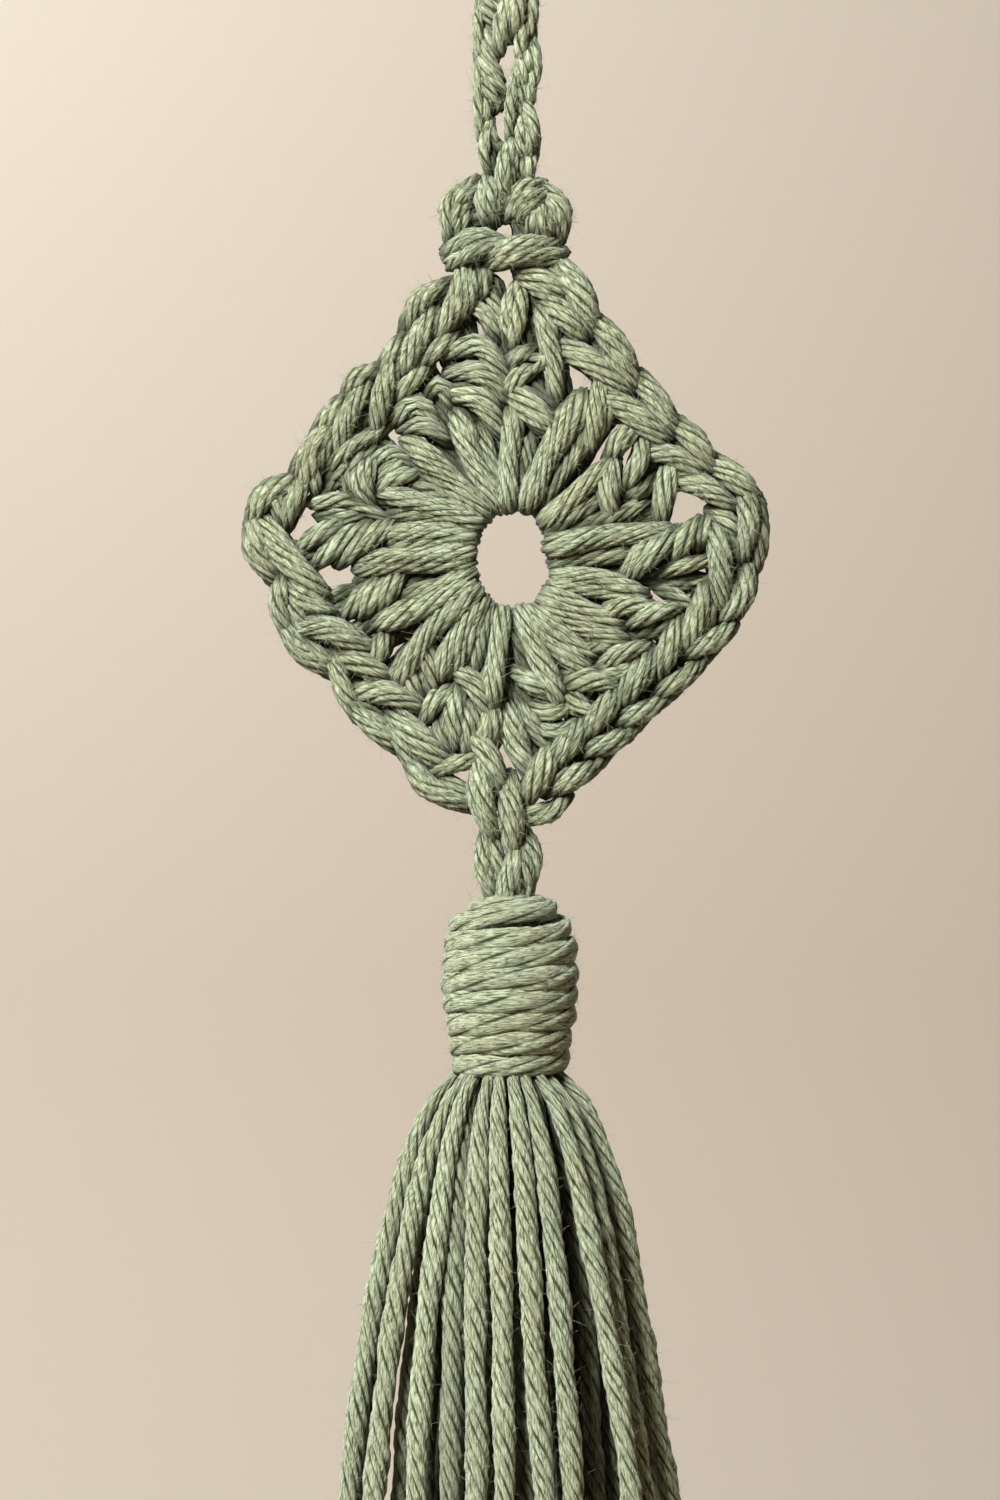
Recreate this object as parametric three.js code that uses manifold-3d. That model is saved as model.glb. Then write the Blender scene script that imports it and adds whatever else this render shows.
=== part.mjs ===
// Crochet hanging ornament: a chain with a hanging loop, a diamond motif of trebles worked
// into a ring and edged with chain stitches, and a tassel with a wound head, all made from
// one thickness of plied cotton yarn.
// Millimetres, +Z up, the front towards -Y, the origin at the inner top of the hanging loop.

import * as THREE from 'three';
import { mergeVertices } from 'three/addons/utils/BufferGeometryUtils.js';
import Module from 'manifold-3d';

const wasm = await Module();
wasm.setup();

// Driving dimensions
const YARN = 2.3;
const CLEARANCE = 0.4;
const CORNER_GROWTH = Math.SQRT2;
const SAGE = 0x8a9176;

const EYE = { centreZ: -6.5, halfWidth: 6.6, halfHeight: 9.1, stitches: 8, squeeze: 0.8 };
const HANGING_CHAIN = { x: 0.0, topZ: -16.2, footZ: -38.2, stitches: 3 };
const HITCH = { thickness: 2.6 };
const MOTIF = { x: 0.4, z: -72.7 };
const HOLE = { halfWidth: 4.1, halfHeight: 4.85 };
const EDGING = { stitches: 22 };
const LINK = {
  x: -0.3,
  topZ: -91.3,
  footZ: -107.6,
  stitches: 3,
  frontAtTop: 1.9,
  frontAtFoot: 0.2,
  room: 0.7,
};
const HEAD = {
  x: 0.1,
  turns: 8,
  sides: 14,
  bore: 4.4,
  hole: 2.0,
  capZ: -108.6,
  topZ: -106.6,
  footZ: -124.0,
};
const CORE = { radius: 4.1, topZ: -108.9, footZ: -124.6 };
const SKIRT = {
  rootRadius: 3.3,
  rootRise: 0.4,
  neckRadius: 4.55,
  neckDrop: 1.0,
  flare: 1.4,
  bend: 0.55,
  hemZ: -191.5,
  steps: 5,
  stepGrowth: 1.6,
};

const FRONT = new THREE.Vector3(0, -1, 0);

// Section of a plain strand, as shares of its half width and half depth.
const RIDGE = [
  { across: 1, deep: 0 },
  { across: 0, deep: 1 },
  { across: -1, deep: 0 },
  { across: 0, deep: -1 },
];

// Corners of a chain: out to the left of its line, towards the front, and how far they lag
// behind the tips of the stitches, in pitches, which slants the legs into a V.
const CHAIN_CORNERS = [
  { out: -3.1, front: 0.1, lag: 0.55 },
  { out: -1.5, front: -1.7, lag: 0.45 },
  { out: 1.5, front: -1.7, lag: 0.45 },
  { out: 3.1, front: 0.1, lag: 0.55 },
  { out: 1.8, front: 1.7, lag: 0.4 },
  { out: 0.0, front: 0.8, lag: 0.0 },
  { out: -1.8, front: 1.7, lag: 0.4 },
];

// Corners of the edging: its inner legs cross the band, its outer legs follow the outline.
const EDGING_CORNERS = [
  { out: -2.4, front: -0.4, lag: 0.75 },
  { out: -1.3, front: -2.1, lag: 0.6 },
  { out: 1.3, front: -2.1, lag: 0.5 },
  { out: 2.4, front: -0.2, lag: 0.35 },
  { out: 1.8, front: 1.6, lag: 0.25 },
  { out: 0.8, front: 1.1, lag: 0.0 },
  { out: -0.5, front: 2.5, lag: 0.35 },
  { out: -1.8, front: 1.6, lag: 0.7 },
];

// How a stitch swells between the grooves at its ends.
const STITCH_SWELL = [
  { share: 0.0, swell: 0.68 },
  { share: 0.2, swell: 1.0 },
  { share: 0.75, swell: 1.0 },
];

// Middle line of the edging, clockwise from the right of the hitch round to its left, measured
// from the motif's centre.
const EDGING_LINE = [
  { x: 4.8, z: 26.4 },
  { x: 6.3, z: 24.2 },
  { x: 13.8, z: 15.0 },
  { x: 20.4, z: 7.2 },
  { x: 23.0, z: 3.2 },
  { x: 22.4, z: -0.6 },
  { x: 20.0, z: -5.0 },
  { x: 13.8, z: -12.8 },
  { x: 7.1, z: -18.8 },
  { x: 1.2, z: -23.6 },
  { x: -1.6, z: -24.2 },
  { x: -6.2, z: -22.0 },
  { x: -11.4, z: -16.8 },
  { x: -17.0, z: -10.3 },
  { x: -21.7, z: -4.3 },
  { x: -24.4, z: 3.0 },
  { x: -20.7, z: 7.7 },
  { x: -17.4, z: 12.2 },
  { x: -10.9, z: 19.7 },
  { x: -7.0, z: 24.6 },
  { x: -3.4, z: 30.4 },
];

// Trebles of the centre, anticlockwise: the angle at the rim, the angle at the edging, how far
// out the wrap sits, and which way the wrap leans.
const TREBLES = [
  { rim: 8, edge: 3, wrap: 12.6, lean: 1 },
  { rim: 42, edge: 32, wrap: 11.6, lean: 1 },
  { rim: 65, edge: 58, wrap: 11.8, lean: 1 },
  { rim: 90, edge: 84, wrap: 12.4, lean: -1 },
  { rim: 110, edge: 101, wrap: 12.6, lean: 1 },
  { rim: 130, edge: 124, wrap: 12.2, lean: 1 },
  { rim: 155, edge: 146, wrap: 12.4, lean: 1 },
  { rim: 180, edge: 175, wrap: 13.0, lean: 1 },
  { rim: 208, edge: 203, wrap: 12.2, lean: 1 },
  { rim: 232, edge: 222, wrap: 11.8, lean: 1 },
  { rim: 248, edge: 241, wrap: 12.4, lean: -1 },
  { rim: 263, edge: 258, wrap: 12.6, lean: -1 },
  { rim: 281, edge: 280, wrap: 12.8, lean: 1 },
  { rim: 297, edge: 298, wrap: 12.2, lean: 1 },
  { rim: 312, edge: 315, wrap: 11.8, lean: 1 },
  { rim: 329, edge: 331, wrap: 12.0, lean: 1 },
  { rim: 347, edge: 348, wrap: 12.4, lean: 1 },
];
const LEG_CROWDING = 1.1;
const WIDEST_LEGS = 3.4;

// Corners of a treble: a pair of legs on the front and on the back, as shares of its half
// width and half depth. The wrap's skew sets them in or out, times the treble's lean.
const TREBLE_CORNERS = [
  { aside: 1, front: 0, skew: 1 },
  { aside: 0.55, front: 1, skew: 0.7 },
  { aside: 0, front: 0.72, skew: 0 },
  { aside: -0.55, front: 1, skew: -0.7 },
  { aside: -1, front: 0, skew: -1 },
  { aside: -0.55, front: -1, skew: -0.7 },
  { aside: 0, front: -0.72, skew: 0 },
  { aside: 0.55, front: -1, skew: 0.7 },
];

// Rows of a treble from the hole outwards: measured from the rim, the wrap or the edging.
const TREBLE_ROWS = [
  { from: 'rim', outward: 0.0, halfDepth: 0.9, skew: 0 },
  { from: 'rim', outward: 0.8, halfDepth: 2.1, skew: 0 },
  { from: 'rim', outward: 2.6, halfDepth: 2.7, skew: 0 },
  { from: 'wrap', outward: -1.2, halfDepth: 2.2, skew: 1.3 },
  { from: 'wrap', outward: 0.0, halfDepth: 3.3, skew: 1.3 },
  { from: 'wrap', outward: 1.3, halfDepth: 2.0, skew: 1.3 },
  { from: 'edge', outward: -0.6, halfDepth: 1.5, skew: 0 },
];

// Strands of the hitch: one knob and its filling, mirrored to both sides, and the bars across.
const HITCH_KNOB = [
  { x: 1.3, front: 0.8, z: -39.6 },
  { x: 1.9, front: 1.8, z: -36.9 },
  { x: 3.6, front: 1.5, z: -35.8 },
  { x: 5.2, front: 0.8, z: -37.4 },
  { x: 5.2, front: 0.2, z: -40.2 },
  { x: 4.2, front: -0.6, z: -42.2 },
];
const HITCH_FILLING = [
  { x: 2.8, front: 1.6, z: -40.8 },
  { x: 3.4, front: 1.8, z: -38.4 },
  { x: 3.9, front: 0.2, z: -37.4 },
  { x: 3.4, front: -1.6, z: -38.4 },
  { x: 2.8, front: -1.4, z: -40.8 },
];
const HITCH_BARS = [
  [
    { x: -5.2, front: 0.2, z: -42.3 },
    { x: -3.0, front: 2.1, z: -41.2 },
    { x: 0.8, front: 1.9, z: -40.7 },
  ],
  [
    { x: -3.0, front: 1.6, z: -42.5 },
    { x: 1.2, front: 2.4, z: -42.0 },
    { x: 5.3, front: 0.4, z: -41.0 },
  ],
  [
    { x: -5.2, front: -0.2, z: -41.6 },
    { x: 0.0, front: -2.2, z: -41.8 },
    { x: 5.2, front: -0.2, z: -41.6 },
  ],
];

// Outline of the wound head: the radius over the turns of yarn at each height.
const HEAD_PROFILE = [
  { z: -106.4, radius: 4.6 },
  { z: -108.5, radius: 5.7 },
  { z: -111.0, radius: 6.6 },
  { z: -114.0, radius: 7.0 },
  { z: -118.0, radius: 6.6 },
  { z: -124.0, radius: 5.7 },
];

// How a turn of yarn swells from the groove below it to the groove above it.
const TURN_SWELL = [
  { share: 1.0, swell: -0.5 },
  { share: 0.7, swell: 0.0 },
  { share: 0.3, swell: 0.0 },
];

// Rings of tassel strands: how many, how far out the ring spreads, its start angle in degrees.
const SKIRT_RINGS = [
  { strands: 26, spread: 1.0, start: 7 },
  { strands: 16, spread: 0.68, start: 11 },
  { strands: 8, spread: 0.34, start: 20 },
];

function toSolid(positions, triangles) {
  return new wasm.Manifold(new wasm.Mesh({
    numProp: 3,
    vertProperties: new Float32Array(positions),
    triVerts: new Uint32Array(triangles),
  }));
}

function solidOf(geometry) {
  geometry.deleteAttribute('normal');
  geometry.deleteAttribute('uv');
  const merged = mergeVertices(geometry);
  return toSolid(merged.attributes.position.array, merged.index.array);
}

function joined(solids) {
  return solids.reduce((whole, solid) => whole.add(solid));
}

// A solid skin over rings of corners, closed into a loop or capped at both ends.
function loft(rings, closed = false) {
  const sides = rings[0].length;
  const positions = rings.flat().flatMap((point) => [...point]);
  const triangles = [];
  const spans = closed ? rings.length : rings.length - 1;
  for (let span = 0; span < spans; span += 1) {
    const near = span * sides;
    const far = ((span + 1) % rings.length) * sides;
    for (let side = 0; side < sides; side += 1) {
      const next = (side + 1) % sides;
      triangles.push(near + side, near + next, far + next);
      triangles.push(near + side, far + next, far + side);
    }
  }
  if (!closed) {
    const middle = (ring) => ring
      .reduce((sum, point) => sum.add(point), new THREE.Vector3())
      .divideScalar(sides);
    const startCap = positions.length / 3;
    const lastRing = spans * sides;
    positions.push(...middle(rings[0]), ...middle(rings.at(-1)));
    for (let side = 0; side < sides; side += 1) {
      const next = (side + 1) % sides;
      triangles.push(startCap, next, side);
      triangles.push(startCap + 1, lastRing + side, lastRing + next);
    }
  }
  return toSolid(positions, triangles);
}

// A strand of yarn along a smooth curve through the points, half as thick as halfAt says, and
// grown on all sides.
function strand(points, halfAt, grow = 0) {
  const steps = points.length - 1;
  const curve = new THREE.CatmullRomCurve3(points, false, 'centripetal');
  const across = new THREE.Vector3();
  const normal = new THREE.Vector3();
  const rings = points.map((centre, step) => {
    const tangent = curve.getTangent(step / steps);
    if (step === 0) {
      across.crossVectors(tangent, FRONT);
    }
    across.addScaledVector(tangent, -across.dot(tangent)).normalize();
    normal.crossVectors(tangent, across);
    const half = halfAt(step) + grow * CORNER_GROWTH;
    const onward = step === 0 ? -grow : grow * Math.floor(step / steps);
    return RIDGE.map((corner) => centre.clone()
      .addScaledVector(tangent, onward)
      .addScaledVector(across, corner.across * half)
      .addScaledVector(normal, corner.deep * half));
  });
  return loft(rings);
}

// A line in the plane of the ornament, with a function that turns distances along it, out to
// its left and towards the front into a point.
function track(points, closed = false) {
  const curve = new THREE.CatmullRomCurve3(points, closed, 'centripetal');
  const length = curve.getLength();
  const place = (along, out, front) => {
    const share = closed ? THREE.MathUtils.euclideanModulo(along / length, 1) : along / length;
    const inside = THREE.MathUtils.clamp(share, 0, 1);
    const tangent = curve.getTangentAt(inside);
    const point = curve.getPointAt(inside).addScaledVector(tangent, (share - inside) * length);
    point.x -= tangent.z * out;
    point.y -= front;
    point.z += tangent.x * out;
    return point;
  };
  return { length, place };
}

// A chain of stitches along a line: each stitch swells between two grooves slanted to a V.
function chain(line, corners, { stitches, closed = false, squeeze = 1, grow = 0 }) {
  const pitch = line.length / stitches;
  const room = grow * CORNER_GROWTH;
  const ring = (stitch, { share, swell }, onward) => corners.map((corner) => line.place(
    (stitch + share - corner.lag) * pitch + onward,
    corner.out * swell * squeeze + Math.sign(corner.out) * room,
    corner.front * swell + Math.sign(corner.front) * room,
  ));
  const rings = [];
  for (let stitch = 0; stitch < stitches; stitch += 1) {
    rings.push(...STITCH_SWELL.map((row) => ring(stitch, row, stitch + row.share === 0 ? -room : 0)));
  }
  if (!closed) {
    rings.push(ring(stitches, STITCH_SWELL[0], room));
  }
  return loft(rings, closed);
}

// Straight chain of the hanging loop, down into the hitch.
function hangingChain(grow) {
  const { x, topZ, footZ, stitches } = HANGING_CHAIN;
  const line = track([new THREE.Vector3(x, 0, topZ), new THREE.Vector3(x, 0, footZ)]);
  return chain(line, CHAIN_CORNERS, { stitches, grow });
}

// Hanging loop: a ring of chain stitches and the straight chain below it.
function hangingLoop() {
  const points = [];
  for (let stitch = 0; stitch < EYE.stitches; stitch += 1) {
    const angle = (2 * Math.PI * stitch) / EYE.stitches;
    const x = EYE.halfWidth * Math.sin(angle);
    const z = EYE.centreZ + EYE.halfHeight * Math.cos(angle);
    points.push(new THREE.Vector3(x, 0, z));
  }
  const ring = chain(track(points, true), CHAIN_CORNERS, {
    stitches: EYE.stitches,
    closed: true,
    squeeze: EYE.squeeze,
  });
  return ring.add(hangingChain(0));
}

// Hitch: a knob of yarn on each side of the chain and the strands laid across them.
function hitchStrands(grow) {
  const lay = (rows, side) => strand(
    rows.map((row) => new THREE.Vector3(row.x * side, -row.front, row.z)),
    () => HITCH.thickness / 2,
    grow,
  );
  const sides = [-1, 1].flatMap((side) => [lay(HITCH_KNOB, side), lay(HITCH_FILLING, side)]);
  return joined([...sides, ...HITCH_BARS.map((bar) => lay(bar, 1))]);
}

function hitch() {
  return hitchStrands(0).subtract(hangingChain(CLEARANCE));
}

const edgingLine = track(EDGING_LINE.map((row) => (
  new THREE.Vector3(MOTIF.x + row.x, 0, MOTIF.z + row.z)
)));

// Stitches of the edging with their tips clockwise, from the hitch round to the hitch.
function edgingStitches(grow) {
  return chain(edgingLine, EDGING_CORNERS, { stitches: EDGING.stitches, grow });
}

function edgingRound() {
  return edgingStitches(0)
    .subtract(hitchStrands(CLEARANCE))
    .subtract(link(LINK.room));
}

// A point of the motif from its angle, its distance from the centre, a shift to the side and
// the distance towards the front.
function motifPoint(degrees, radius, aside, front) {
  const angle = THREE.MathUtils.degToRad(degrees);
  return new THREE.Vector3(
    MOTIF.x + radius * Math.cos(angle) - aside * Math.sin(angle),
    -front,
    MOTIF.z + radius * Math.sin(angle) + aside * Math.cos(angle),
  );
}

function holeRadius(degrees) {
  const angle = THREE.MathUtils.degToRad(degrees);
  return 1 / Math.hypot(Math.cos(angle) / HOLE.halfWidth, Math.sin(angle) / HOLE.halfHeight);
}

// How far the edging's middle line is from the motif's centre at an angle.
function edgingRadius(degrees) {
  const samples = 240;
  let nearest = { off: Infinity, radius: 0 };
  for (let sample = 0; sample < samples; sample += 1) {
    const point = edgingLine.place((sample * edgingLine.length) / samples, 0, 0);
    const angle = THREE.MathUtils.radToDeg(Math.atan2(point.z - MOTIF.z, point.x - MOTIF.x));
    const off = Math.abs(THREE.MathUtils.euclideanModulo(angle - degrees + 180, 360) - 180);
    if (off < nearest.off) {
      nearest = { off, radius: Math.hypot(point.x - MOTIF.x, point.z - MOTIF.z) };
    }
  }
  return nearest.radius;
}

// Treble: a pair of legs fanning from the rim of the hole to the edging, with a wrap slanted
// over them, as wide as half the way to the treble before it and to the treble after it.
function treble(row, before, after) {
  const hole = holeRadius(row.rim);
  const reach = edgingRadius(row.edge);
  const start = { rim: hole, wrap: row.wrap, edge: reach };
  const halfWay = (from, to) => THREE.MathUtils.euclideanModulo(to - from, 360) / 2;
  const sides = {
    before: { rim: halfWay(before.rim, row.rim), edge: halfWay(before.edge, row.edge) },
    after: { rim: halfWay(row.rim, after.rim), edge: halfWay(row.edge, after.edge) },
  };
  const rings = TREBLE_ROWS.map(({ from, outward, halfDepth, skew }) => {
    const radius = start[from] + outward;
    const along = (radius - hole) / (reach - hole);
    const angle = THREE.MathUtils.lerp(row.rim, row.edge, along);
    return TREBLE_CORNERS.map((corner) => {
      const side = corner.aside > 0 ? sides.after : sides.before;
      const room = THREE.MathUtils.degToRad(THREE.MathUtils.lerp(side.rim, side.edge, along));
      const halfWidth = Math.min(WIDEST_LEGS, radius * room * LEG_CROWDING);
      const set = radius + corner.skew * skew * row.lean;
      return motifPoint(angle, set, corner.aside * halfWidth, corner.front * halfDepth);
    });
  });
  return loft(rings);
}

// Centre: trebles worked into a ring, trimmed where they pass under the edging.
function centreRound() {
  const solids = TREBLES.map((row, index) => (
    treble(row, TREBLES.at(index - 1), TREBLES[(index + 1) % TREBLES.length])
  ));
  return joined(solids).subtract(edgingStitches(CLEARANCE)).subtract(link(LINK.room));
}

// Link: short chain from the motif's bottom corner into the tassel's head.
function link(grow) {
  const { x, topZ, footZ, stitches, frontAtTop, frontAtFoot } = LINK;
  const line = track([
    new THREE.Vector3(x, -frontAtTop, topZ),
    new THREE.Vector3(x, -frontAtFoot, footZ),
  ]);
  return chain(line, CHAIN_CORNERS, { stitches, grow });
}

// Radius of the head's outline at a height, straight between the rows of the profile.
function headRadius(z) {
  const lowest = HEAD_PROFILE.length - 2;
  const above = HEAD_PROFILE.findIndex((row, at) => at === lowest || HEAD_PROFILE[at + 1].z <= z);
  const upper = HEAD_PROFILE[above];
  const lower = HEAD_PROFILE[above + 1];
  return THREE.MathUtils.mapLinear(z, upper.z, lower.z, upper.radius, lower.radius);
}

// Wound head: a cap and wall round the tassel's core, ribbed by the turns of yarn wound on it.
function tasselWrap() {
  const pitch = (HEAD.topZ - HEAD.footZ) / HEAD.turns;
  const section = [
    new THREE.Vector2(HEAD.hole, HEAD.topZ),
    new THREE.Vector2(HEAD.hole, HEAD.capZ),
    new THREE.Vector2(HEAD.bore, HEAD.capZ),
    new THREE.Vector2(HEAD.bore, HEAD.footZ),
  ];
  for (let turn = HEAD.turns - 1; turn >= 0; turn -= 1) {
    for (const { share, swell } of TURN_SWELL) {
      const z = HEAD.topZ - (turn + share) * pitch;
      section.push(new THREE.Vector2(headRadius(z) + swell, z));
    }
  }
  section.push(section[0]);
  const wall = new THREE.LatheGeometry(section, HEAD.sides);
  wall.rotateX(Math.PI / 2).translate(HEAD.x, 0, 0);
  return solidOf(wall).subtract(link(LINK.room));
}

// One tassel strand, thin where the strands crowd at the neck.
function tasselStrand(ring, index) {
  const { rootRadius, rootRise, neckRadius, neckDrop, flare, bend, hemZ, steps, stepGrowth } = SKIRT;
  const angle = THREE.MathUtils.degToRad(ring.start + (360 * index) / ring.strands);
  const halves = [];
  const place = (radius, z) => {
    const room = (2 * Math.PI * radius) / ring.strands - CLEARANCE;
    halves.push(Math.min(YARN, room) / 2);
    return new THREE.Vector3(HEAD.x + radius * Math.cos(angle), radius * Math.sin(angle), z);
  };
  const points = [place(ring.spread * rootRadius, HEAD.footZ + rootRise)];
  for (let step = 1; step <= steps; step += 1) {
    const share = (step / steps) ** stepGrowth;
    const drop = share * (HEAD.footZ - hemZ);
    const radius = ring.spread * (neckRadius + flare * drop ** bend);
    points.push(place(radius, THREE.MathUtils.lerp(HEAD.footZ - neckDrop, hemZ, share)));
  }
  return strand(points, (step) => halves[step]);
}

// Tassel: strands fused at their roots into the core inside the wound head.
function tassel() {
  const height = CORE.topZ - CORE.footZ;
  const core = new THREE.CylinderGeometry(CORE.radius, CORE.radius, height, HEAD.sides);
  core.rotateX(Math.PI / 2).translate(HEAD.x, 0, CORE.footZ + height / 2);
  const solids = [solidOf(core)];
  for (const ring of SKIRT_RINGS) {
    for (let index = 0; index < ring.strands; index += 1) {
      solids.push(tasselStrand(ring, index));
    }
  }
  return joined(solids);
}

const pieces = {
  hanging_loop: hangingLoop(),
  hitch: hitch(),
  edging_round: edgingRound(),
  centre_round: centreRound(),
  tassel_link: link(0),
  tassel_wrap: tasselWrap(),
  tassel: tassel(),
};

const ornament = new THREE.Group();
for (const [name, solid] of Object.entries(pieces)) {
  const { vertProperties, triVerts } = solid.getMesh();
  const geometry = new THREE.BufferGeometry();
  geometry.setAttribute('position', new THREE.BufferAttribute(vertProperties, 3));
  geometry.setIndex(new THREE.BufferAttribute(triVerts, 1));
  geometry.computeVertexNormals();
  const cotton = new THREE.MeshStandardMaterial({ color: SAGE, roughness: 0.9, metalness: 0 });
  const mesh = new THREE.Mesh(geometry, cotton);
  mesh.name = name;
  ornament.add(mesh);
}

export default ornament;
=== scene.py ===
import math
from collections import namedtuple

import bpy
import numpy as np
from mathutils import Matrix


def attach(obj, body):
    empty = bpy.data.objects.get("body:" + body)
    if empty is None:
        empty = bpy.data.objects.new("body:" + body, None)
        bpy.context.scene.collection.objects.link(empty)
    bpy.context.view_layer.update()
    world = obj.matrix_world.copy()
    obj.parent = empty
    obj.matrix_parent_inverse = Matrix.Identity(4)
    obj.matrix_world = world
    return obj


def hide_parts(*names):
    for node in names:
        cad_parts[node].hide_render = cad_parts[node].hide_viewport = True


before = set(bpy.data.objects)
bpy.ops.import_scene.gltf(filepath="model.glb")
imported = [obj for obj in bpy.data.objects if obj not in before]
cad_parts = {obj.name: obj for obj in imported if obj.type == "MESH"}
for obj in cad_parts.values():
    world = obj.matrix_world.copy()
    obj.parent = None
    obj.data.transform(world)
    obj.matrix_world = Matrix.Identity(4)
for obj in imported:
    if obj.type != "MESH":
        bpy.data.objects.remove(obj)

bl_info = {
    "name": "Crochet hanging ornament",
    "version": (1, 0, 0),
    "blender": (4, 2, 0),
    "location": "View3D > Sidebar > Crochet",
    "description": "Works a crochet motif, its hanging chain and its tassel in plied cotton yarn",
    "category": "Add Mesh",
}

# All sizes below are in millimetres, x to the right, z up, and "front" towards -Y.
MM = 0.001
BODY = "root"

Motif = namedtuple("Motif", "x z hole_half_width hole_half_height")
MOTIF = Motif(x=0.4, z=-72.7, hole_half_width=4.1, hole_half_height=4.85)

# Strands of the centre, from its middle: the start, a point between and the end, then how far to the
# front the strand stands at the point between, and half its width. A leg starts at the hole.
Laid = namedtuple("Laid", "x z middle_x middle_z end_x end_z front half")
LEGS = [
    Laid(4.0, 1.6, 10.3, 2.6, 15.6, 2.7, 2.1, 1.25),
    Laid(3.9, 3.0, 6.6, 5.0, 9.2, 6.5, 1.6, 1.05),
    Laid(3.4, 4.1, 6.8, 7.1, 9.6, 9.4, 2.0, 1.2),
    Laid(2.9, 5.7, 5.3, 9.2, 7.5, 13.0, 1.5, 1.0),
    Laid(1.4, 5.8, 3.6, 10.6, 6.8, 15.9, 2.1, 1.35),
    Laid(0.6, 6.0, 1.4, 9.5, 1.8, 12.5, 1.5, 0.95),
    Laid(-0.5, 5.7, -0.3, 10.7, 0.4, 15.3, 2.0, 1.15),
    Laid(-0.8, 6.5, -2.0, 9.7, -3.0, 13.0, 1.6, 0.95),
    Laid(-1.4, 5.6, -3.9, 10.2, -5.3, 14.2, 2.0, 1.2),
    Laid(-2.6, 4.7, -6.2, 8.5, -10.1, 11.8, 2.0, 1.1),
    Laid(-2.8, 4.6, -6.5, 6.5, -9.7, 7.8, 1.5, 0.9),
    Laid(-3.1, 4.1, -6.5, 7.2, -9.2, 9.5, 1.5, 0.95),
    Laid(-3.3, 3.9, -8.2, 5.6, -12.9, 7.0, 1.9, 1.05),
    Laid(-3.7, 3.1, -8.0, 4.4, -11.6, 4.9, 1.5, 0.95),
    Laid(-4.0, 2.4, -8.4, 3.0, -12.4, 2.7, 1.9, 1.0),
    Laid(-4.2, 1.6, -8.7, 1.9, -12.1, 1.5, 1.5, 0.95),
    Laid(-4.2, 1.0, -9.7, 0.6, -15.0, 0.2, 1.9, 1.0),
    Laid(-4.3, 0.1, -9.7, -0.4, -15.0, -0.6, 1.5, 0.95),
    Laid(-4.1, -1.3, -7.5, -2.6, -10.8, -3.6, 1.7, 1.1),
    Laid(-3.9, -2.4, -8.2, -4.2, -12.9, -6.0, 2.0, 1.15),
    Laid(-3.7, -3.0, -8.0, -6.8, -11.5, -11.7, 1.9, 1.15),
    Laid(-2.9, -4.0, -5.4, -7.5, -7.2, -11.0, 1.9, 1.1),
    Laid(-2.5, -4.4, -4.4, -7.8, -6.2, -11.1, 1.5, 0.95),
    Laid(-2.1, -4.7, -3.1, -7.8, -3.6, -10.8, 1.4, 0.95),
    Laid(-0.9, -5.1, -1.5, -9.6, -2.4, -14.3, 2.0, 1.15),
    Laid(0.1, -5.1, 0.8, -8.3, 1.7, -10.9, 1.2, 0.9),
    Laid(1.0, -5.0, 2.8, -9.6, 4.5, -13.8, 2.0, 1.2),
    Laid(2.0, -4.9, 4.5, -8.3, 7.2, -10.9, 1.9, 1.15),
    Laid(2.8, -4.4, 5.5, -7.5, 7.6, -9.4, 1.7, 1.05),
    Laid(3.2, -3.7, 7.0, -6.3, 10.9, -8.0, 1.8, 1.1),
    Laid(3.8, -2.8, 7.3, -4.8, 10.5, -6.3, 1.9, 1.05),
    Laid(4.3, -2.2, 8.8, -2.9, 13.6, -4.4, 1.5, 1.0),
    Laid(4.4, -1.1, 8.5, -1.6, 12.8, -3.4, 1.9, 1.0),
    Laid(4.4, 0.0, 8.6, 0.5, 12.2, 1.0, 1.5, 1.1),
]
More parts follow.
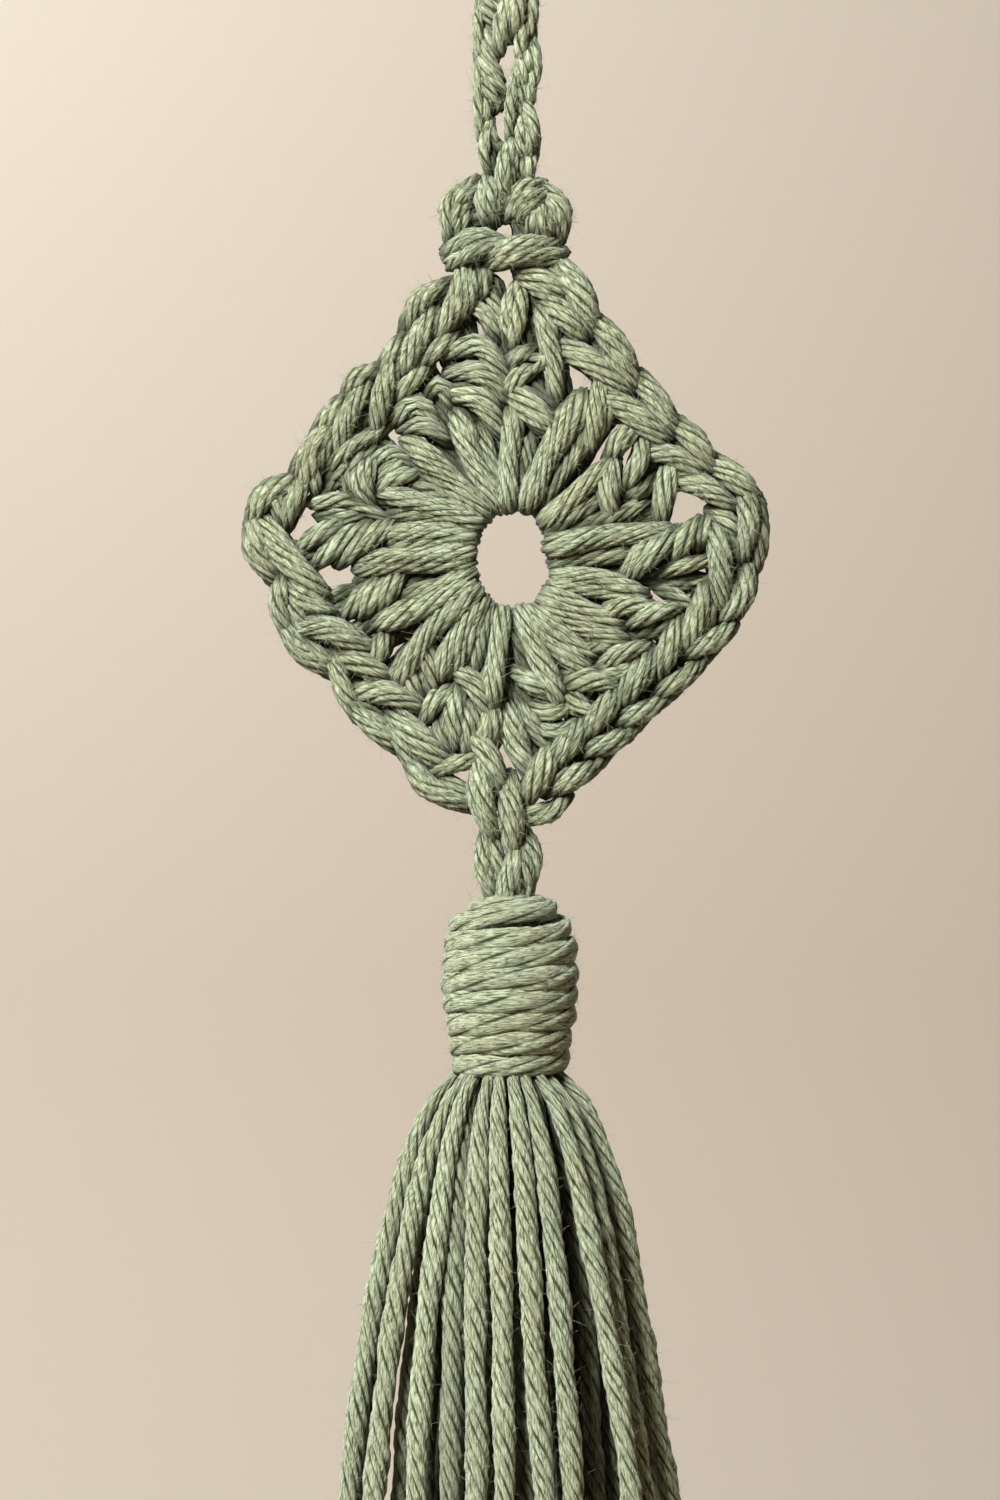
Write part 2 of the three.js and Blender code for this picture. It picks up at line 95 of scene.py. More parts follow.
# Strands across the legs, and short ones that close the work between them, in the same columns.
WRAPS = [
    Laid(11.6, -1.2, 13.6, 0.9, 16.2, 2.5, 2.4, 1.4),
    Laid(15.8, 0.4, 17.0, 2.1, 18.5, 3.8, 1.9, 1.0),
    Laid(18.4, 1.3, 19.0, 2.8, 19.9, 4.3, 1.5, 0.85),
    Laid(14.0, -1.1, 16.4, -0.5, 19.5, 0.2, 1.3, 0.9),
    Laid(12.8, -1.5, 15.3, -2.1, 17.8, -2.5, 0.2, 0.9),
    Laid(14.8, -2.8, 16.4, -3.6, 18.2, -4.7, 1.2, 0.8),
    Laid(10.2, 9.6, 9.6, 7.2, 9.9, 4.6, 2.4, 1.1),
    Laid(12.8, 13.5, 11.0, 12.4, 9.9, 10.6, 1.5, 1.1),
    Laid(13.2, 12.2, 12.6, 9.7, 11.0, 7.2, 2.0, 1.0),
    Laid(14.1, 8.4, 12.8, 7.3, 11.0, 6.4, 1.3, 0.85),
    Laid(16.1, 9.7, 15.3, 7.2, 14.8, 4.3, 1.8, 1.25),
    Laid(9.0, 18.8, 8.4, 15.0, 7.5, 11.3, 2.0, 1.0),
    Laid(10.3, 17.6, 9.5, 14.8, 8.2, 11.9, 1.5, 0.8),
    Laid(0.1, 17.2, 1.8, 15.4, 4.0, 12.9, 2.4, 1.35),
    Laid(2.0, 17.6, 3.0, 16.0, 4.2, 14.1, 1.6, 0.85),
    Laid(3.0, 25.0, 4.0, 20.2, 4.5, 15.6, 1.8, 1.0),
    Laid(1.7, 20.4, 3.3, 20.0, 1.8, 18.8, 2.4, 0.5),
    Laid(2.0, 21.2, 0.4, 20.4, -0.8, 18.7, 1.4, 0.95),
    Laid(2.1, 19.1, 0.4, 18.2, -0.8, 16.3, 1.8, 1.0),
    Laid(1.0, 27.2, 0.6, 24.2, -0.1, 21.5, 1.7, 0.8),
    Laid(0.5, 27.6, -0.6, 24.7, -0.4, 21.5, 1.5, 0.75),
    Laid(-2.3, 26.8, -1.3, 24.8, -1.1, 22.2, 1.3, 0.75),
    Laid(-4.2, 28.0, -2.6, 28.2, -1.5, 27.6, 0.3, 1.0),
    Laid(1.2, 28.6, 2.8, 28.4, 4.4, 27.2, 0.6, 1.0),
    Laid(-4.2, 25.9, -2.5, 24.4, -1.5, 22.0, 1.6, 0.9),
    Laid(-6.3, 20.9, -3.4, 21.5, -0.5, 17.8, 2.0, 1.1),
    Laid(-5.8, 18.8, -3.1, 18.8, -0.6, 16.1, 2.3, 1.15),
    Laid(-5.7, 16.9, -3.2, 16.1, -1.1, 12.8, 2.2, 1.15),
    Laid(-8.7, 16.5, -7.2, 17.6, -6.1, 15.5, 1.5, 1.0),
    Laid(-7.4, 15.2, -6.8, 13.7, -6.2, 12.0, 1.2, 0.8),
    Laid(-11.5, 14.4, -9.7, 15.6, -7.6, 13.7, 2.1, 1.1),
    Laid(-10.6, 13.4, -8.7, 13.6, -6.5, 12.0, 2.2, 1.0),
    Laid(-14.6, 9.4, -12.0, 10.9, -9.2, 9.2, 1.4, 0.9),
    Laid(-13.4, 8.3, -12.2, 9.2, -10.4, 9.9, 1.8, 0.75),
    Laid(-13.3, 7.2, -11.5, 8.3, -9.1, 9.0, 2.1, 0.85),
    Laid(-14.1, 9.8, -15.0, 8.0, -14.2, 5.9, 1.9, 1.1),
    Laid(-15.5, 9.5, -16.1, 8.0, -15.2, 6.4, 1.3, 0.95),
    Laid(-20.0, 5.9, -16.4, 6.1, -11.8, 3.6, 1.0, 0.75),
    Laid(-12.4, 3.6, -14.6, 2.1, -17.0, 0.2, 2.1, 1.1),
    Laid(-14.2, 3.6, -16.8, 2.1, -19.2, 0.1, 1.7, 1.05),
    Laid(-16.7, 3.7, -19.0, 2.9, -20.9, 1.6, 1.4, 0.95),
    Laid(-15.2, -1.8, -13.4, -1.5, -11.4, -1.5, 1.0, 0.75),
    Laid(-13.4, -4.5, -12.4, -2.9, -11.2, -1.4, 2.1, 1.1),
    Laid(-14.9, -4.9, -13.7, -3.5, -12.2, -1.9, 1.8, 1.05),
    Laid(-16.3, -5.0, -14.9, -3.6, -12.9, -1.7, 1.4, 1.0),
    Laid(-12.4, -7.0, -13.1, -8.6, -13.8, -10.3, 1.3, 1.05),
    Laid(-8.7, -7.8, -8.2, -10.3, -8.0, -13.0, 1.6, 1.05),
    Laid(-9.5, -9.8, -10.0, -12.0, -9.1, -14.1, 1.5, 1.05),
    Laid(-8.8, -15.8, -7.8, -14.1, -6.0, -12.7, 1.9, 0.95),
    Laid(-6.5, -14.6, -7.2, -16.8, -6.5, -19.0, 1.1, 0.9),
    Laid(-5.2, -11.0, -3.5, -12.5, -2.3, -15.4, 2.2, 1.2),
    Laid(-5.3, -12.8, -5.9, -15.3, -5.5, -18.0, 1.9, 1.1),
    Laid(-4.6, -13.6, -4.1, -16.0, -4.4, -18.4, 1.7, 1.1),
    Laid(-0.6, -14.8, -1.6, -17.3, -2.4, -19.6, 1.2, 0.85),
    Laid(-0.2, -14.8, 0.3, -17.8, 1.7, -20.8, 1.5, 1.2),
    Laid(0.8, -12.8, 2.1, -16.0, 3.8, -18.6, 1.0, 0.95),
    Laid(0.4, -11.1, 2.0, -12.2, 4.1, -13.5, 2.3, 1.0),
    Laid(1.8, -13.8, 3.6, -15.0, 5.8, -14.4, 1.7, 1.05),
    Laid(2.7, -16.0, 4.2, -17.1, 6.5, -16.2, 1.4, 0.95),
    Laid(5.6, -13.0, 6.5, -14.3, 8.2, -15.4, 1.5, 0.95),
    Laid(5.4, -12.2, 7.8, -11.9, 10.6, -12.4, 1.9, 1.0),
    Laid(5.1, -11.5, 6.8, -11.1, 9.0, -11.2, 1.7, 0.9),
    Laid(8.6, -10.5, 10.8, -10.9, 13.1, -9.5, 1.5, 0.95),
    Laid(9.0, -10.2, 10.8, -9.2, 13.2, -8.4, 2.0, 0.95),
    Laid(7.1, -8.9, 8.8, -8.3, 10.8, -8.3, 1.8, 0.8),
    Laid(12.8, -7.2, 14.6, -6.6, 16.8, -5.5, 1.0, 0.9),
    Laid(11.6, -6.1, 13.6, -5.2, 16.4, -4.6, 2.0, 0.95),
    Laid(9.1, -5.3, 11.0, -4.4, 14.3, -4.7, 2.1, 0.95),
    Laid(-19.0, 4.6, -16.8, 4.4, -14.6, 4.4, 0.9, 0.95),
    Laid(10.4, 15.6, 11.6, 14.2, 13.4, 12.8, 0.8, 0.9),
    Laid(4.8, 21.0, 5.3, 18.2, 5.7, 15.5, 0.6, 0.6),
    Laid(10.8, 3.8, 13.0, 4.4, 15.0, 4.6, 0.4, 0.9),
    Laid(-0.2, -8.0, -0.3, -11.0, -0.4, -14.6, 0.2, 0.85),
    Laid(1.8, 27.7, 2.2, 25.9, 2.7, 24.0, 0.4, 0.7),
    Laid(4.6, 2.6, 9.0, 4.2, 13.2, 5.6, 1.2, 1.1),
    Laid(1.0, -16.4, 1.8, -18.6, 3.0, -20.8, 0.3, 0.8),
    Laid(2.2, 20.4, 2.7, 18.4, 3.0, 16.4, 0.3, 0.7),
]
# Strands deep in the work, straight out from the hole to the edging, by their angle.
FILLING_ANGLES = (
    -6, 4, 26, 35, 56, 60, 77, 86, 94, 101, 107, 114, 121, 138, 146, 154, 177, 191,
    196, 204, 212, 222, 231, 240, 249, 262, 284, 292, 300, 305, 309, 318, 327, 335,
)
# Their start from the motif's middle, how far they stop short of the edging's middle line, and half
# their width.
Filling = namedtuple("Filling", "start short half stations")
FILLING = Filling(start=6.2, short=1.6, half=1.1, stations=4)
# Yarn within the legs, a little more than once round the hole.
Ring = namedtuple("Ring", "outward half degrees stations")
RING = Ring(outward=2.0, half=1.1, degrees=380.0, stations=40)
# How a strand turns under at its ends: past the end in half widths, how far to the front, and its
# share of the width.
Tuck = namedtuple("Tuck", "beyond front share")
TUCK = Tuck(beyond=1.15, front=-0.4, share=0.55)
# Where a leg turns over the rim of the hole: how far out from the hole, and half its width.
Rim = namedtuple("Rim", "outward half")
RIM = Rim(outward=0.85, half=0.8)
# Shares of a strand's front and half width at its start, middle and end, and its greatest half depth.
Rounding = namedtuple("Rounding", "front width")
LEG = Rounding(front=(0.65, 1.0, 0.6), width=(0.9, 1.0, 1.0))
WRAP = Rounding(front=(0.48, 1.0, 0.48), width=(0.88, 1.12, 0.82))
DEEPEST = 1.15

# A leg of a chain stitch from the open end of its V to its tip: pitches along the line, then how far
# out from it and to the front.
StitchRow = namedtuple("StitchRow", "along out front")
CHAIN_LEG = [
    StitchRow(-1.45, 0.7, -0.9),
    StitchRow(-1.2, 1.5, -0.3),
    StitchRow(-0.85, 2.0, 0.7),
    StitchRow(-0.45, 1.5, 1.25),
    StitchRow(-0.08, 0.7, 1.0),
    StitchRow(0.14, 0.45, -0.1),
    StitchRow(0.3, 0.4, -1.0),
]
# Half width of that leg, and its shares at the ends and added to them in the middle.
Leaf = namedtuple("Leaf", "half tip swell")
LEAF = Leaf(half=1.15, tip=0.65, swell=0.4)

# Middle line of the edging, clockwise from the right of the hitch to its left, from the centre.
EdgingPoint = namedtuple("EdgingPoint", "x z")
EDGING_LINE = [
    EdgingPoint(4.8, 26.4),
    EdgingPoint(6.3, 24.2),
    EdgingPoint(13.8, 15.0),
    EdgingPoint(20.9, 7.4),
    EdgingPoint(22.7, 3.3),
    EdgingPoint(22.4, -0.6),
    EdgingPoint(20.0, -5.0),
    EdgingPoint(13.8, -12.8),
    EdgingPoint(7.1, -18.4),
    EdgingPoint(2.0, -22.0),
    EdgingPoint(-1.6, -24.2),
    EdgingPoint(-6.2, -22.0),
    EdgingPoint(-11.4, -16.8),
    EdgingPoint(-17.0, -10.3),
    EdgingPoint(-21.7, -4.3),
    EdgingPoint(-24.4, 3.0),
    EdgingPoint(-20.7, 7.7),
    EdgingPoint(-17.4, 12.2),
    EdgingPoint(-10.9, 19.7),
    EdgingPoint(-7.0, 24.6),
    EdgingPoint(-3.4, 30.4),
]
# Strands of the edging on the front and the back, from the centre, in the columns of the centre's.
EDGING_STRANDS = [
    Laid(5.0, 29.4, 6.8, 26.7, 8.1, 23.3, 2.2, 1.2),
    Laid(3.4, 26.2, 5.2, 24.6, 6.9, 22.3, 2.0, 1.2),
    Laid(8.8, 23.6, 10.3, 21.4, 12.2, 17.6, 2.3, 1.25),
    Laid(5.3, 21.4, 8.2, 19.7, 10.9, 17.0, 2.1, 1.3),
    Laid(12.9, 18.2, 14.4, 16.2, 16.2, 13.1, 2.2, 1.2),
    Laid(9.2, 16.6, 12.1, 14.7, 14.9, 12.2, 2.1, 1.3),
    Laid(16.8, 13.6, 18.2, 11.8, 20.1, 9.3, 2.2, 1.15),
    Laid(13.7, 11.0, 16.4, 10.5, 18.9, 8.4, 2.0, 1.1),
    Laid(20.5, 9.8, 22.3, 8.3, 24.3, 6.2, 2.1, 1.2),
    Laid(16.5, 8.2, 19.2, 7.5, 22.3, 5.3, 2.0, 1.1),
    Laid(23.3, 7.0, 23.7, 4.0, 22.9, 0.4, 2.4, 1.1),
    Laid(24.5, 6.4, 25.0, 3.0, 24.5, -0.4, 1.7, 0.8),
    Laid(20.1, 5.0, 21.5, 4.1, 22.7, 2.4, 1.9, 0.95),
    Laid(21.8, 3.2, 22.1, 1.7, 22.5, 0.2, 1.7, 0.7),
    Laid(20.5, 3.2, 20.7, -0.4, 21.0, -4.4, 2.3, 1.15),
    Laid(23.6, -0.6, 23.1, -3.5, 20.7, -5.9, 1.9, 0.9),
    Laid(22.8, -1.0, 22.1, -3.8, 21.2, -5.0, 1.6, 0.8),
    Laid(24.2, -0.8, 23.8, -3.3, 22.6, -5.4, 1.5, 0.6),
    Laid(19.4, -2.6, 18.5, -5.5, 17.3, -8.5, 2.3, 1.15),
    Laid(19.9, -3.8, 19.4, -5.8, 18.5, -7.4, 1.9, 0.8),
    Laid(21.8, -6.5, 20.2, -7.8, 17.4, -9.2, 1.9, 1.0),
    Laid(16.8, -6.2, 15.7, -8.5, 14.6, -11.0, 2.3, 1.2),
    Laid(18.4, -10.5, 16.8, -11.8, 14.4, -13.2, 1.9, 1.0),
    Laid(13.8, -9.8, 12.3, -11.8, 11.0, -14.0, 2.3, 1.2),
    Laid(14.9, -13.9, 13.2, -14.9, 10.7, -15.9, 1.9, 1.0),
    Laid(10.4, -13.0, 8.9, -15.2, 7.5, -17.2, 2.3, 1.25),
    Laid(11.4, -17.3, 9.7, -18.1, 7.2, -18.9, 1.9, 1.0),
    Laid(7.0, -16.3, 5.5, -18.3, 4.1, -20.2, 2.3, 1.25),
    Laid(8.0, -20.6, 6.4, -21.4, 3.7, -22.9, 1.9, 1.0),
    Laid(8.6, -18.6, 6.4, -20.1, 4.2, -21.6, 0.5, 0.8),
    Laid(3.9, -19.1, 2.7, -21.3, 1.4, -23.6, 2.3, 1.25),
    Laid(5.4, -23.5, 3.9, -25.2, 0.9, -25.8, 1.7, 0.8),
    Laid(3.6, -24.4, 2.4, -24.9, 1.0, -25.0, 1.9, 0.6),
    Laid(-8.4, -20.9, -5.9, -20.3, -3.2, -19.6, 2.0, 0.85),
    Laid(-11.9, -14.9, -9.7, -17.5, -7.1, -20.0, 2.3, 1.4),
    Laid(-15.2, -13.0, -12.4, -13.1, -9.4, -14.6, 2.3, 1.15),
    Laid(-17.2, -9.0, -14.8, -10.2, -12.1, -12.0, 1.9, 1.1),
    Laid(-21.2, -6.4, -18.0, -6.7, -14.6, -8.6, 2.3, 1.35),
    Laid(-22.4, -1.5, -20.6, -3.8, -18.1, -5.2, 1.9, 1.1),
    Laid(-24.8, 3.8, -22.6, 0.6, -19.3, -3.1, 2.3, 1.45),
    Laid(-7.2, -21.5, -5.4, -22.8, -3.4, -24.4, 1.7, 0.9),
    Laid(-10.4, -18.8, -8.8, -22.0, -4.6, -24.3, 1.7, 1.1),
    Laid(-12.2, -15.1, -11.0, -18.2, -9.1, -21.5, 1.9, 0.95),
    Laid(-16.6, -13.4, -14.5, -15.9, -11.4, -18.6, 1.7, 1.0),
    Laid(-17.9, -8.8, -17.1, -12.0, -15.6, -15.3, 2.0, 0.95),
    Laid(-15.9, -13.8, -13.9, -15.5, -11.8, -17.7, 1.6, 0.9),
    Laid(-22.9, -5.7, -21.3, -8.7, -18.0, -10.9, 1.7, 1.1),
    Laid(-22.6, -1.1, -23.3, -4.2, -22.2, -7.5, 2.0, 0.95),
    Laid(-22.1, -2.8, -21.4, -5.5, -20.0, -8.1, 1.7, 0.8),
    Laid(-20.7, -7.8, -19.2, -9.4, -17.5, -11.0, 1.7, 0.9),
    Laid(-25.7, 3.8, -25.6, 1.2, -23.5, -1.8, 1.9, 1.2),
    Laid(-25.0, 1.7, -24.0, 0.0, -22.8, -1.4, 1.6, 0.8),
    Laid(-21.8, 8.0, -24.6, 6.7, -26.0, 4.2, 1.9, 1.15),
    Laid(-17.5, 13.7, -19.8, 11.6, -21.5, 9.0, 2.1, 1.0),
    Laid(-17.5, 13.2, -18.6, 11.1, -19.4, 9.0, 1.8, 0.75),
    Laid(-13.4, 19.2, -15.5, 18.2, -16.6, 16.4, 1.8, 0.95),
    Laid(-16.1, 16.8, -18.2, 14.6, -19.6, 12.6, 1.8, 0.95),
    Laid(-10.1, 22.6, -11.8, 21.0, -13.3, 19.0, 1.8, 0.9),
    Laid(-6.2, 27.8, -9.2, 26.1, -10.6, 23.2, 1.9, 1.0),
    Laid(-4.6, 29.2, -5.7, 25.7, -7.6, 22.2, 2.2, 1.05),
    Laid(-4.2, 29.0, -4.6, 26.2, -6.1, 23.4, 2.0, 0.9),
    Laid(-7.8, 25.1, -9.3, 22.4, -11.0, 18.8, 2.4, 1.1),
    Laid(-5.7, 22.6, -7.8, 21.0, -9.8, 19.0, 1.9, 0.85),
    Laid(-8.5, 19.3, -10.1, 17.8, -11.8, 16.0, 2.3, 0.9),
    Laid(-11.8, 19.9, -12.9, 16.6, -13.5, 13.4, 2.4, 1.0),
    Laid(-14.1, 17.9, -16.1, 15.2, -17.6, 11.0, 2.3, 1.1),
    Laid(-13.2, 12.9, -15.6, 11.9, -18.4, 9.4, 1.7, 0.8),
    Laid(-19.0, 12.8, -20.0, 10.1, -20.9, 7.4, 2.0, 0.9),
    Laid(-12.0, 14.4, -14.2, 12.6, -16.7, 11.0, 1.0, 0.9),
    Laid(-12.2, 15.8, -14.5, 14.2, -16.6, 12.4, 1.0, 0.8),
    Laid(-17.0, 8.5, -18.5, 7.3, -20.0, 6.2, 0.4, 0.7),
    Laid(-13.8, 11.6, -16.0, 9.9, -18.2, 8.4, 0.9, 0.9),
    Laid(-19.9, 9.9, -19.6, 8.4, -19.7, 6.8, 1.7, 0.7),
    Laid(-20.9, 8.0, -21.8, 5.9, -22.5, 3.8, 2.1, 1.0),
    Laid(-22.8, 7.7, -23.3, 5.9, -22.8, 3.9, 1.7, 0.9),
    Laid(-5.0, 29.4, -5.3, 27.2, -5.7, 25.0, 2.0, 0.8),
    Laid(-3.4, 29.4, -3.7, 27.6, -4.2, 26.0, 1.9, 0.75),
    Laid(-2.5, 29.4, -2.8, 27.6, -3.4, 26.0, 1.6, 0.7),
    Laid(1.0, 29.0, 3.3, 28.1, 5.6, 26.2, 2.1, 0.95),
    Laid(3.6, 29.6, 5.4, 28.5, 7.0, 26.8, 1.8, 0.9),
    Laid(0.9, 28.4, 2.8, 27.2, 4.8, 25.6, 1.8, 0.8),
    Laid(20.3, -8.6, 19.0, -9.8, 17.6, -11.2, 1.0, 0.75),
    Laid(16.9, -12.3, 15.6, -13.4, 14.2, -14.6, 1.0, 0.75),
    Laid(13.3, -15.5, 12.1, -16.6, 10.8, -17.7, 1.0, 0.75),
    Laid(9.8, -18.8, 8.7, -19.9, 7.4, -21.0, 1.0, 0.75),
]
# Yarn along the edging's middle line: half its width, and the distance between its points.
Core = namedtuple("Core", "half step")
EDGING_CORE = Core(half=0.9, step=0.5)

# Ring of stitches at the top of the hanging chain, where a stitch is squeezed to a share of its spread.
Eye = namedtuple("Eye", "centre_z half_width half_height stitches squeeze stations")
EYE = Eye(centre_z=-5.0, half_width=6.0, half_height=7.6, stitches=7, squeeze=0.8, stations=129)
# Strands of the hanging chain, from the origin, in the columns of the centre's strands.
CHAIN_STRANDS = [
    Laid(-2.4, -15.5, -1.7, -16.9, -0.7, -18.0, 1.2, 0.75),
    Laid(-2.5, -17.1, -1.9, -18.2, -1.0, -19.2, 1.0, 0.75),
    Laid(0.0, -16.7, -0.7, -19.3, -0.8, -21.5, 1.9, 0.8),
    Laid(1.0, -15.5, 0.9, -17.7, 0.3, -20.1, 1.7, 0.85),
    Laid(2.4, -15.7, 2.5, -17.9, 2.1, -20.1, 1.2, 0.65),
    Laid(1.8, -18.7, 1.3, -20.8, 1.2, -23.1, 1.5, 0.65),
    Laid(-3.0, -17.7, -3.0, -20.1, -2.9, -22.5, 1.4, 0.55),
    Laid(-2.2, -19.3, -1.8, -21.0, -1.2, -22.4, 1.5, 0.55),
    Laid(-2.4, -20.3, -2.0, -22.2, -0.7, -24.4, 1.8, 0.6),
    Laid(-2.6, -22.1, -1.9, -24.0, -0.4, -25.7, 1.6, 0.7),
    Laid(-2.7, -23.7, -2.1, -25.5, -1.0, -27.1, 1.4, 0.7),
    Laid(2.1, -21.4, 2.0, -22.7, 2.2, -24.3, 1.7, 0.55),
    Laid(2.5, -20.8, 2.8, -23.3, 2.2, -25.8, 1.2, 0.6),
    Laid(1.2, -22.2, 1.5, -23.8, 1.4, -25.4, 1.5, 0.6),
    Laid(0.9, -23.5, 0.3, -26.9, 0.1, -30.7, 1.7, 0.55),
    Laid(1.1, -24.3, 1.0, -26.3, 1.3, -28.2, 1.4, 0.55),
    Laid(2.0, -24.7, 2.2, -26.0, 1.9, -27.1, 1.0, 0.7),
    Laid(-3.0, -22.7, -3.0, -26.5, -2.8, -30.3, 1.5, 0.5),
    Laid(-2.1, -26.0, -2.1, -27.6, -2.5, -29.1, 1.5, 0.5),
    Laid(-1.2, -26.1, -1.1, -26.9, -1.3, -27.5, 0.8, 0.7),
    Laid(-0.5, -26.2, -0.5, -26.8, -0.6, -27.3, 0.6, 0.5),
    Laid(-1.7, -28.7, -2.4, -31.2, -1.8, -34.4, 1.7, 0.55),
    Laid(-1.8, -28.7, -1.5, -30.3, -1.1, -31.7, 1.3, 0.55),
    Laid(-1.8, -31.3, -1.6, -32.9, -1.4, -34.5, 1.2, 0.5),
    Laid(0.3, -31.0, -0.5, -33.9, -0.4, -36.9, 2.8, 0.8),
    Laid(0.7, -31.4, 0.3, -33.5, 0.3, -35.9, 2.4, 0.6),
    Laid(1.4, -28.5, 1.2, -30.6, 1.6, -32.5, 2.3, 0.6),
    Laid(1.7, -28.7, 2.3, -30.6, 1.8, -32.7, 2.2, 0.65),
    Laid(1.7, -26.7, 2.6, -29.2, 2.6, -32.2, 1.6, 0.6),
    Laid(2.3, -32.0, 2.1, -33.4, 1.7, -34.8, 2.0, 0.7),
    Laid(1.5, -32.3, 1.3, -33.6, 1.1, -35.1, 2.0, 0.55),
    Laid(-2.6, -16.5, -2.7, -20.5, -2.7, -24.5, 0.3, 0.75),
    Laid(2.2, -16.5, 2.2, -20.5, 2.1, -24.5, 0.3, 0.7),
    Laid(-2.4, -26.0, -2.3, -29.5, -2.1, -33.5, 0.3, 0.6),
    Laid(1.6, -25.0, 1.8, -29.0, 1.9, -33.0, 0.3, 0.65),
    Laid(0.9, -27.5, 0.8, -28.6, 0.7, -29.8, 0.5, 0.5),
    Laid(-1.2, -30.6, -0.6, -31.4, 0.0, -32.4, 1.2, 0.55),
]

# Strands of the hitch, from the origin, in the same columns.
HITCH_STRANDS = [
    Laid(-5.9, -40.3, -6.0, -37.1, -3.4, -34.6, 2.0, 0.75),
    Laid(-5.7, -38.1, -4.6, -36.2, -2.9, -35.5, 2.4, 0.75),
    Laid(-5.7, -39.4, -4.9, -37.7, -3.6, -36.6, 2.3, 0.7),
    Laid(-5.1, -40.2, -4.4, -38.8, -3.7, -37.4, 2.0, 0.65),
    Laid(-2.3, -34.6, -2.6, -36.8, -2.1, -39.0, 2.9, 0.7),
    Laid(-1.7, -34.8, -1.8, -36.9, -1.5, -38.9, 2.9, 0.65),
    Laid(-1.1, -35.5, -1.2, -37.2, -1.1, -38.7, 2.4, 0.5),
    Laid(-0.2, -37.3, 1.3, -35.5, 3.2, -34.9, 2.3, 0.75),
    Laid(0.0, -38.2, 1.5, -36.6, 3.8, -35.9, 2.6, 0.75),
    Laid(0.8, -38.6, 1.9, -37.3, 3.6, -36.6, 2.6, 0.65),
    Laid(3.2, -35.0, 5.4, -37.1, 5.3, -40.3, 1.6, 0.8),
    Laid(3.8, -35.9, 4.9, -37.8, 4.8, -40.3, 1.9, 0.7),
    Laid(3.1, -37.3, 2.5, -38.7, 2.0, -40.2, 2.6, 0.65),
    Laid(3.4, -37.1, 3.3, -38.8, 3.2, -40.5, 2.7, 0.7),
    Laid(3.8, -37.5, 4.1, -39.1, 4.1, -40.5, 2.4, 0.6),
    Laid(0.8, -38.7, 1.1, -39.8, 1.6, -40.9, 1.4, 0.65),
    Laid(-5.8, -41.6, -3.7, -40.4, -0.2, -41.1, 2.8, 0.95),
    Laid(-5.4, -43.0, -3.3, -41.7, -0.2, -41.0, 3.0, 0.75),
    Laid(-5.9, -42.4, -4.4, -42.4, -2.8, -42.2, 2.4, 0.7),
    Laid(-2.2, -42.1, 0.7, -41.3, 4.4, -40.8, 3.1, 0.85),
    Laid(-1.8, -43.0, 1.2, -42.2, 5.2, -41.9, 2.9, 0.8),
    Laid(0.4, -42.9, 2.8, -42.6, 5.2, -42.7, 2.2, 0.65),
    Laid(-5.6, -38.0, -3.8, -38.5, -1.6, -38.3, 0.8, 1.3),
    Laid(0.4, -37.7, 2.7, -37.7, 4.8, -38.1, 0.8, 1.3),
    Laid(-5.8, -41.5, -2.8, -41.7, -0.8, -41.7, 0.9, 1.0),
    Laid(1.2, -41.9, 3.2, -41.7, 5.2, -41.7, 0.9, 1.0),
    Laid(0.9, -38.4, 1.9, -39.3, 3.0, -40.0, 0.8, 0.85),
]

# Strands of the link between the motif and the tassel, from the origin, in the same columns.
LINK_STRANDS = [
    Laid(-1.6, -87.4, -1.9, -89.6, -2.9, -91.6, 1.9, 1.15),
    Laid(-3.1, -90.2, -1.9, -92.2, -0.8, -95.6, 2.8, 1.15),
    Laid(-2.4, -92.2, -2.8, -95.8, -1.6, -100.0, 2.8, 1.15),
    Laid(0.2, -94.6, 0.35, -97.8, 0.4, -101.6, 2.5, 1.15),
    Laid(-2.1, -99.4, -2.5, -102.5, -1.6, -106.5, 1.7, 0.85),
    Laid(-1.7, -99.9, -1.2, -102.5, -0.8, -105.0, 1.5, 0.8),
    Laid(-2.4, -103.7, -1.8, -105.3, -1.2, -106.7, 1.2, 0.8),
    Laid(1.1, -101.2, 0.3, -104.1, -0.4, -107.1, 2.0, 1.15),
    Laid(1.3, -101.0, 1.7, -103.3, 1.9, -105.7, 1.6, 0.8),
    Laid(1.6, -99.4, 2.7, -102.1, 2.2, -104.9, 1.3, 0.8),
    Laid(2.2, -104.3, 1.6, -105.9, 0.8, -107.1, 1.1, 0.8),
]

# Wound head: the radius over the yarn at each height.
HeadRow = namedtuple("HeadRow", "z radius")
HEAD_PROFILE = [
    HeadRow(-106.2, 3.7),
    HeadRow(-107.5, 5.05),
    HeadRow(-109.0, 6.15),
    HeadRow(-111.0, 6.75),
    HeadRow(-113.5, 7.0),
    HeadRow(-116.5, 6.85),
    HeadRow(-119.5, 6.45),
    HeadRow(-122.5, 6.0),
    HeadRow(-124.6, 5.5),
]
# The winding down the head: its turns, the yarn's half height and half depth, how far it rises to the
# right at the top and where that ends, and how far it strays, in two waves counted in each turn.
Winding = namedtuple(
    "Winding",
    "x top foot turns stations half_height half_depth slope slope_foot wander slow_wave quick_wave",
)
WINDING = Winding(
    x=0.2, top=-107.6, foot=-124.2, turns=8, stations=24, half_height=1.28, half_depth=0.7,
    slope=0.065, slope_foot=-113.0, wander=0.28, slow_wave=0.37, quick_wave=1.3,
)
